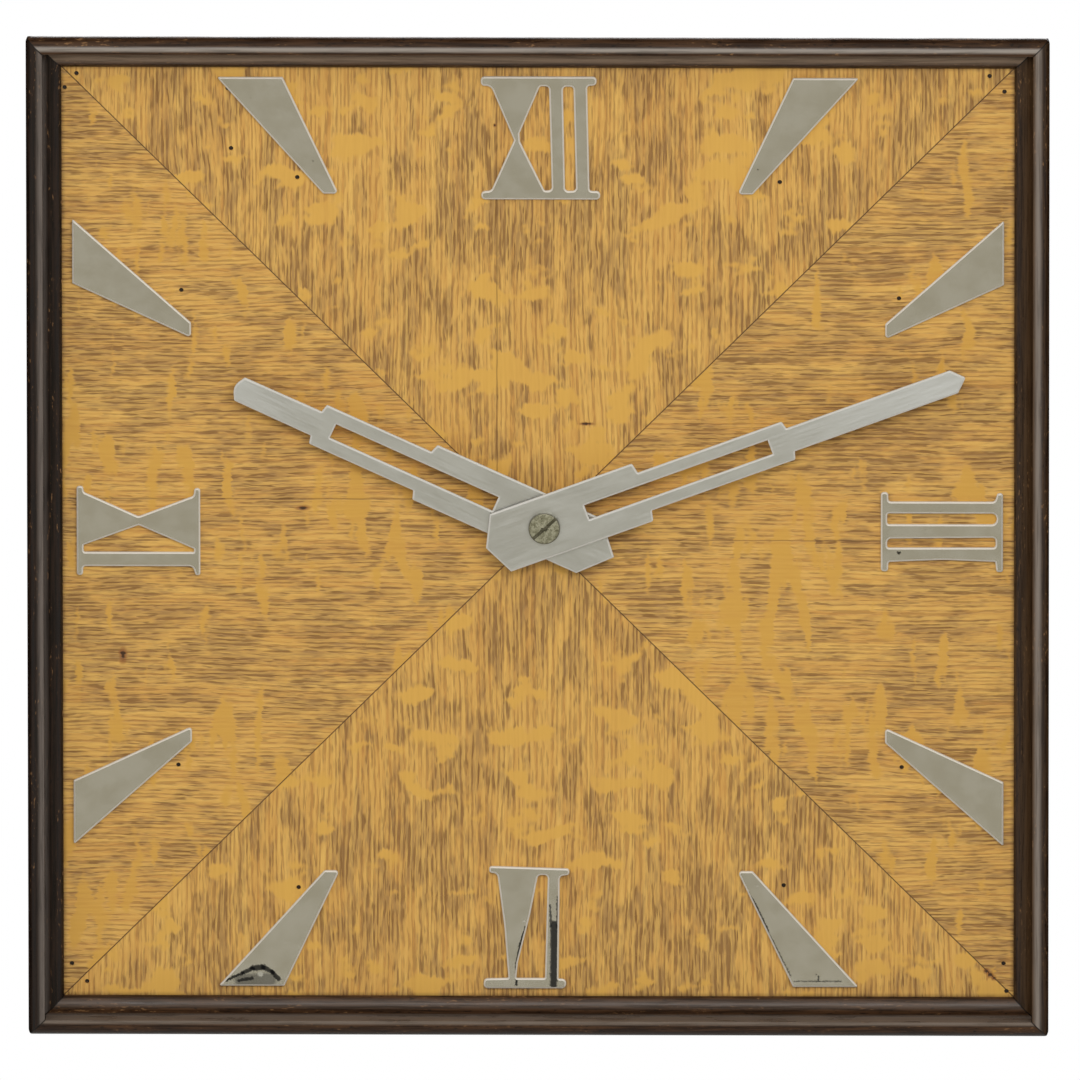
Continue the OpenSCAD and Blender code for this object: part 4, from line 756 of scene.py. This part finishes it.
def makeNut(look):
    # A point of the face is s = R sin(a) across the slot and t R cos(a) along it, for a from -90 to 90 degrees and
    # t from -1 to 1. Its height falls by dome * (r / R) ** 2, by a quarter circle within the edge's width, and by
    # the slot's depth where |s| is under the slot's half width. The wall goes down from the rim.
    outer = (nutHigh.x - nutLow.x) / 2 / mm - 0.02
    front, back = -nutLow.y / mm, -nutHigh.y / mm
    slotAngles = np.arcsin(np.array([look["slotHalf"], look["slotHalf"] + 0.08]) / outer)
    half = np.unique(np.concatenate([np.linspace(0, np.pi / 2, 26), slotAngles]))
    a = np.concatenate([-half[:0:-1], half])[:, None]
    t = np.sin(np.linspace(-np.pi / 2, np.pi / 2, 41))[None]
    s, along = outer * np.sin(a) + 0 * t, outer * np.cos(a) * t
    radius = np.hypot(s, along)
    height = front - look["dome"] * (radius / outer) ** 2
    intoEdge = np.clip((radius - outer + look["edge"]) / look["edge"], 0, 1)
    height -= look["edge"] * (1 - np.sqrt(1 - intoEdge ** 2))
    burr = look["flare"] * np.exp(-(along / look["flareLong"]) ** 2) * np.sign(along + 0.01)
    inSlot = np.abs(s - 0.5 * burr) <= look["slotHalf"] + 0.02 + 0.25 * np.abs(burr)
    slotFloor = front - look["slotDeep"] * (1 - look["fill"] * np.exp(-(along / look["fillLong"]) ** 2))
    height = np.where(inSlot, np.minimum(height, slotFloor), height)
    rows, columns = s.shape
    turn = np.radians(look["slotTurn"])
    x = spindle[0] + along * np.cos(turn) + s * np.sin(turn)
    z = spindle[1] + along * np.sin(turn) - s * np.cos(turn)
    face = np.stack([x, -height, z], 2).reshape(-1, 3)
    grid = np.arange(rows * columns).reshape(rows, columns)
    quads = np.stack([grid[:-1, :-1], grid[:-1, 1:], grid[1:, 1:], grid[1:, :-1]], 2).reshape(-1, 4)
    ring = np.concatenate([grid[:, -1], grid[-2:0:-1, 0]])  # round the rim once
    wall = face[ring].copy()
    wall[:, 1] = -back
    floor = len(face) + np.arange(len(ring))
    sides = np.stack([ring, np.roll(ring, -1), np.roll(floor, -1), floor], 1)
    mesh = bpy.data.meshes.new("slotted_nut")
    mesh.from_pydata((np.concatenate([face, wall]) * mm).tolist(), [],
                     quads.tolist() + sides.tolist() + [floor[::-1].tolist()])
    mesh.validate()
    # a vertex colour that darkens the nut in its slot, on its side wall and towards its rim
    darkening = mesh.color_attributes.new("darkening", "FLOAT_COLOR", "POINT")
    atRim = look["darkeningAtRim"] * np.clip((radius / outer - 0.86) / 0.12, 0, 1) ** 2  # grows over the last eighth
    shades = np.ones((len(mesh.vertices), 4))
    shades[:, :3] = look["darkeningOnWall"]
    shades[:len(face), :3] = np.where(inSlot, look["darkeningInSlot"], atRim).reshape(-1, 1)
    darkening.data.foreach_set("color", shades.reshape(-1))
    nut = bpy.data.objects.new("slotted_nut", mesh)
    bpy.context.scene.collection.objects.link(nut)
    nut.data.materials.append(agedNickel("agedNickel"))
    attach(nut, "minute_hand_body")
    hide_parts("hand_nut")


makeNut(nutLook)
print("nut made")


# Floor, lamps and world

room = {
    "floorBelow": 0.3,  # metres under the clock, out of the main view
    "floorRadius": 0.85,
    "lamps": [  # place, width, height and power in watts, all looking at the dial
        {"at": (0.35, -1.8, 0.92), "wide": 1.8, "high": 0.55, "watts": 19},
        {"at": (-1.1, -1.3, 1.3), "wide": 1.2, "high": 1.2, "watts": 6},
        {"at": (0.2, 1.5, 0.9), "wide": 1.0, "high": 1.0, "watts": 17},
    ],
    "front": "bdb9ab",  # what the polished metal sees of the room in front of the dial
    "sides": "f4f1ea",
    "behind": "1e1b19",  # and what the edges of the frame see of the room behind it
    "frontFull": 0.93, "frontNone": 0.62,  # cosines of how far off straight ahead the front reaches
    "behindFull": -0.15, "behindNone": 0.2,  # and where the room behind begins
    "ambient": 0.58,
}


def makeFloor(look):
    # A flat disc: its rim is at radius * cos(a), radius * sin(a) for a once round
    a = np.linspace(0, 2 * np.pi, 96, endpoint=False)
    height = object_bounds()[0][2] - look["floorBelow"]
    rim = np.stack([look["floorRadius"] * np.cos(a), look["floorRadius"] * np.sin(a), np.full(len(a), height)], 1)
    mesh = bpy.data.meshes.new("floor")
    mesh.from_pydata(rim.tolist(), [], [list(range(len(a)))])
    floor = bpy.data.objects.new("floor", mesh)
    bpy.context.scene.collection.objects.link(floor)
    # Pale painted board, matt, with soft clouds a third of a metre wide
    material, tree, shader = startMaterial("paleFloor", {"Roughness": 0.8})
    clouds = addNode(tree, "TexNoise", {"Vector": addNode(tree, "TexCoord", out="Object"), "Scale": 3.0})
    feed(tree, shader, {"Base Color": paintOver(tree, "f2f2f0", [(clouds, "ececea")])})
    floor.data.materials.append(material)
    floor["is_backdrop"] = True


def makeLamps(look):
    for number, lamp in enumerate(look["lamps"]):
        data = bpy.data.lights.new(f"softbox{number}", "AREA")
        data.shape = "RECTANGLE"
        data.size, data.size_y = lamp["wide"], lamp["high"]
        data.energy = lamp["watts"]
        light = bpy.data.objects.new(f"softbox{number}", data)
        away = Vector(lamp["at"]) - Vector((0, -dialFace * mm, 0))
        light.matrix_world = Matrix.Translation(lamp["at"]) @ away.to_track_quat("Z", "Y").to_matrix().to_4x4()
        bpy.context.scene.collection.objects.link(light)


def makeWorld(look):
    # White wherever it is seen; for light, and for what metal sees, the room in front of the dial is darker
    world = bpy.data.worlds.new("studio")
    world.use_nodes = True
    tree = world.node_tree
    tree.nodes.clear()
    way = addNode(tree, "TexCoord", out="Generated")
    toward = addNode(tree, "VectorMath", {0: way, 1: (0, -1, -0.1)}, out="Value", operation="DOT_PRODUCT")
    studio = paintOver(tree, look["sides"], [
        (addNode(tree, "MapRange", {0: toward, 1: look["frontNone"], 2: look["frontFull"]}, **smooth), look["front"]),
        (addNode(tree, "MapRange", {0: toward, 1: look["behindNone"], 2: look["behindFull"]}, **smooth),
         look["behind"])])
    rays = addNode(tree, "LightPath", out="all")
    seen = addNode(tree, "Math", {0: rays["Is Camera Ray"], 1: rays["Is Transmission Ray"]}, **larger)
    mirrored = addNode(tree, "Math", {0: seen, 1: rays["Is Glossy Ray"]}, **larger)
    strength = addNode(tree, "MapRange", {0: mirrored, 3: look["ambient"], 4: 1.0}, **smooth)
    background = addNode(tree, "Background", {0: paintOver(tree, studio, [(seen, "ffffff")]), 1: strength})
    feed(tree, tree.nodes.new("ShaderNodeOutputWorld"), {0: background})
    bpy.context.scene.world = world


makeFloor(room)
makeLamps(room)
makeWorld(room)
bpy.context.scene.view_settings.view_transform = "Standard"
print("light set")
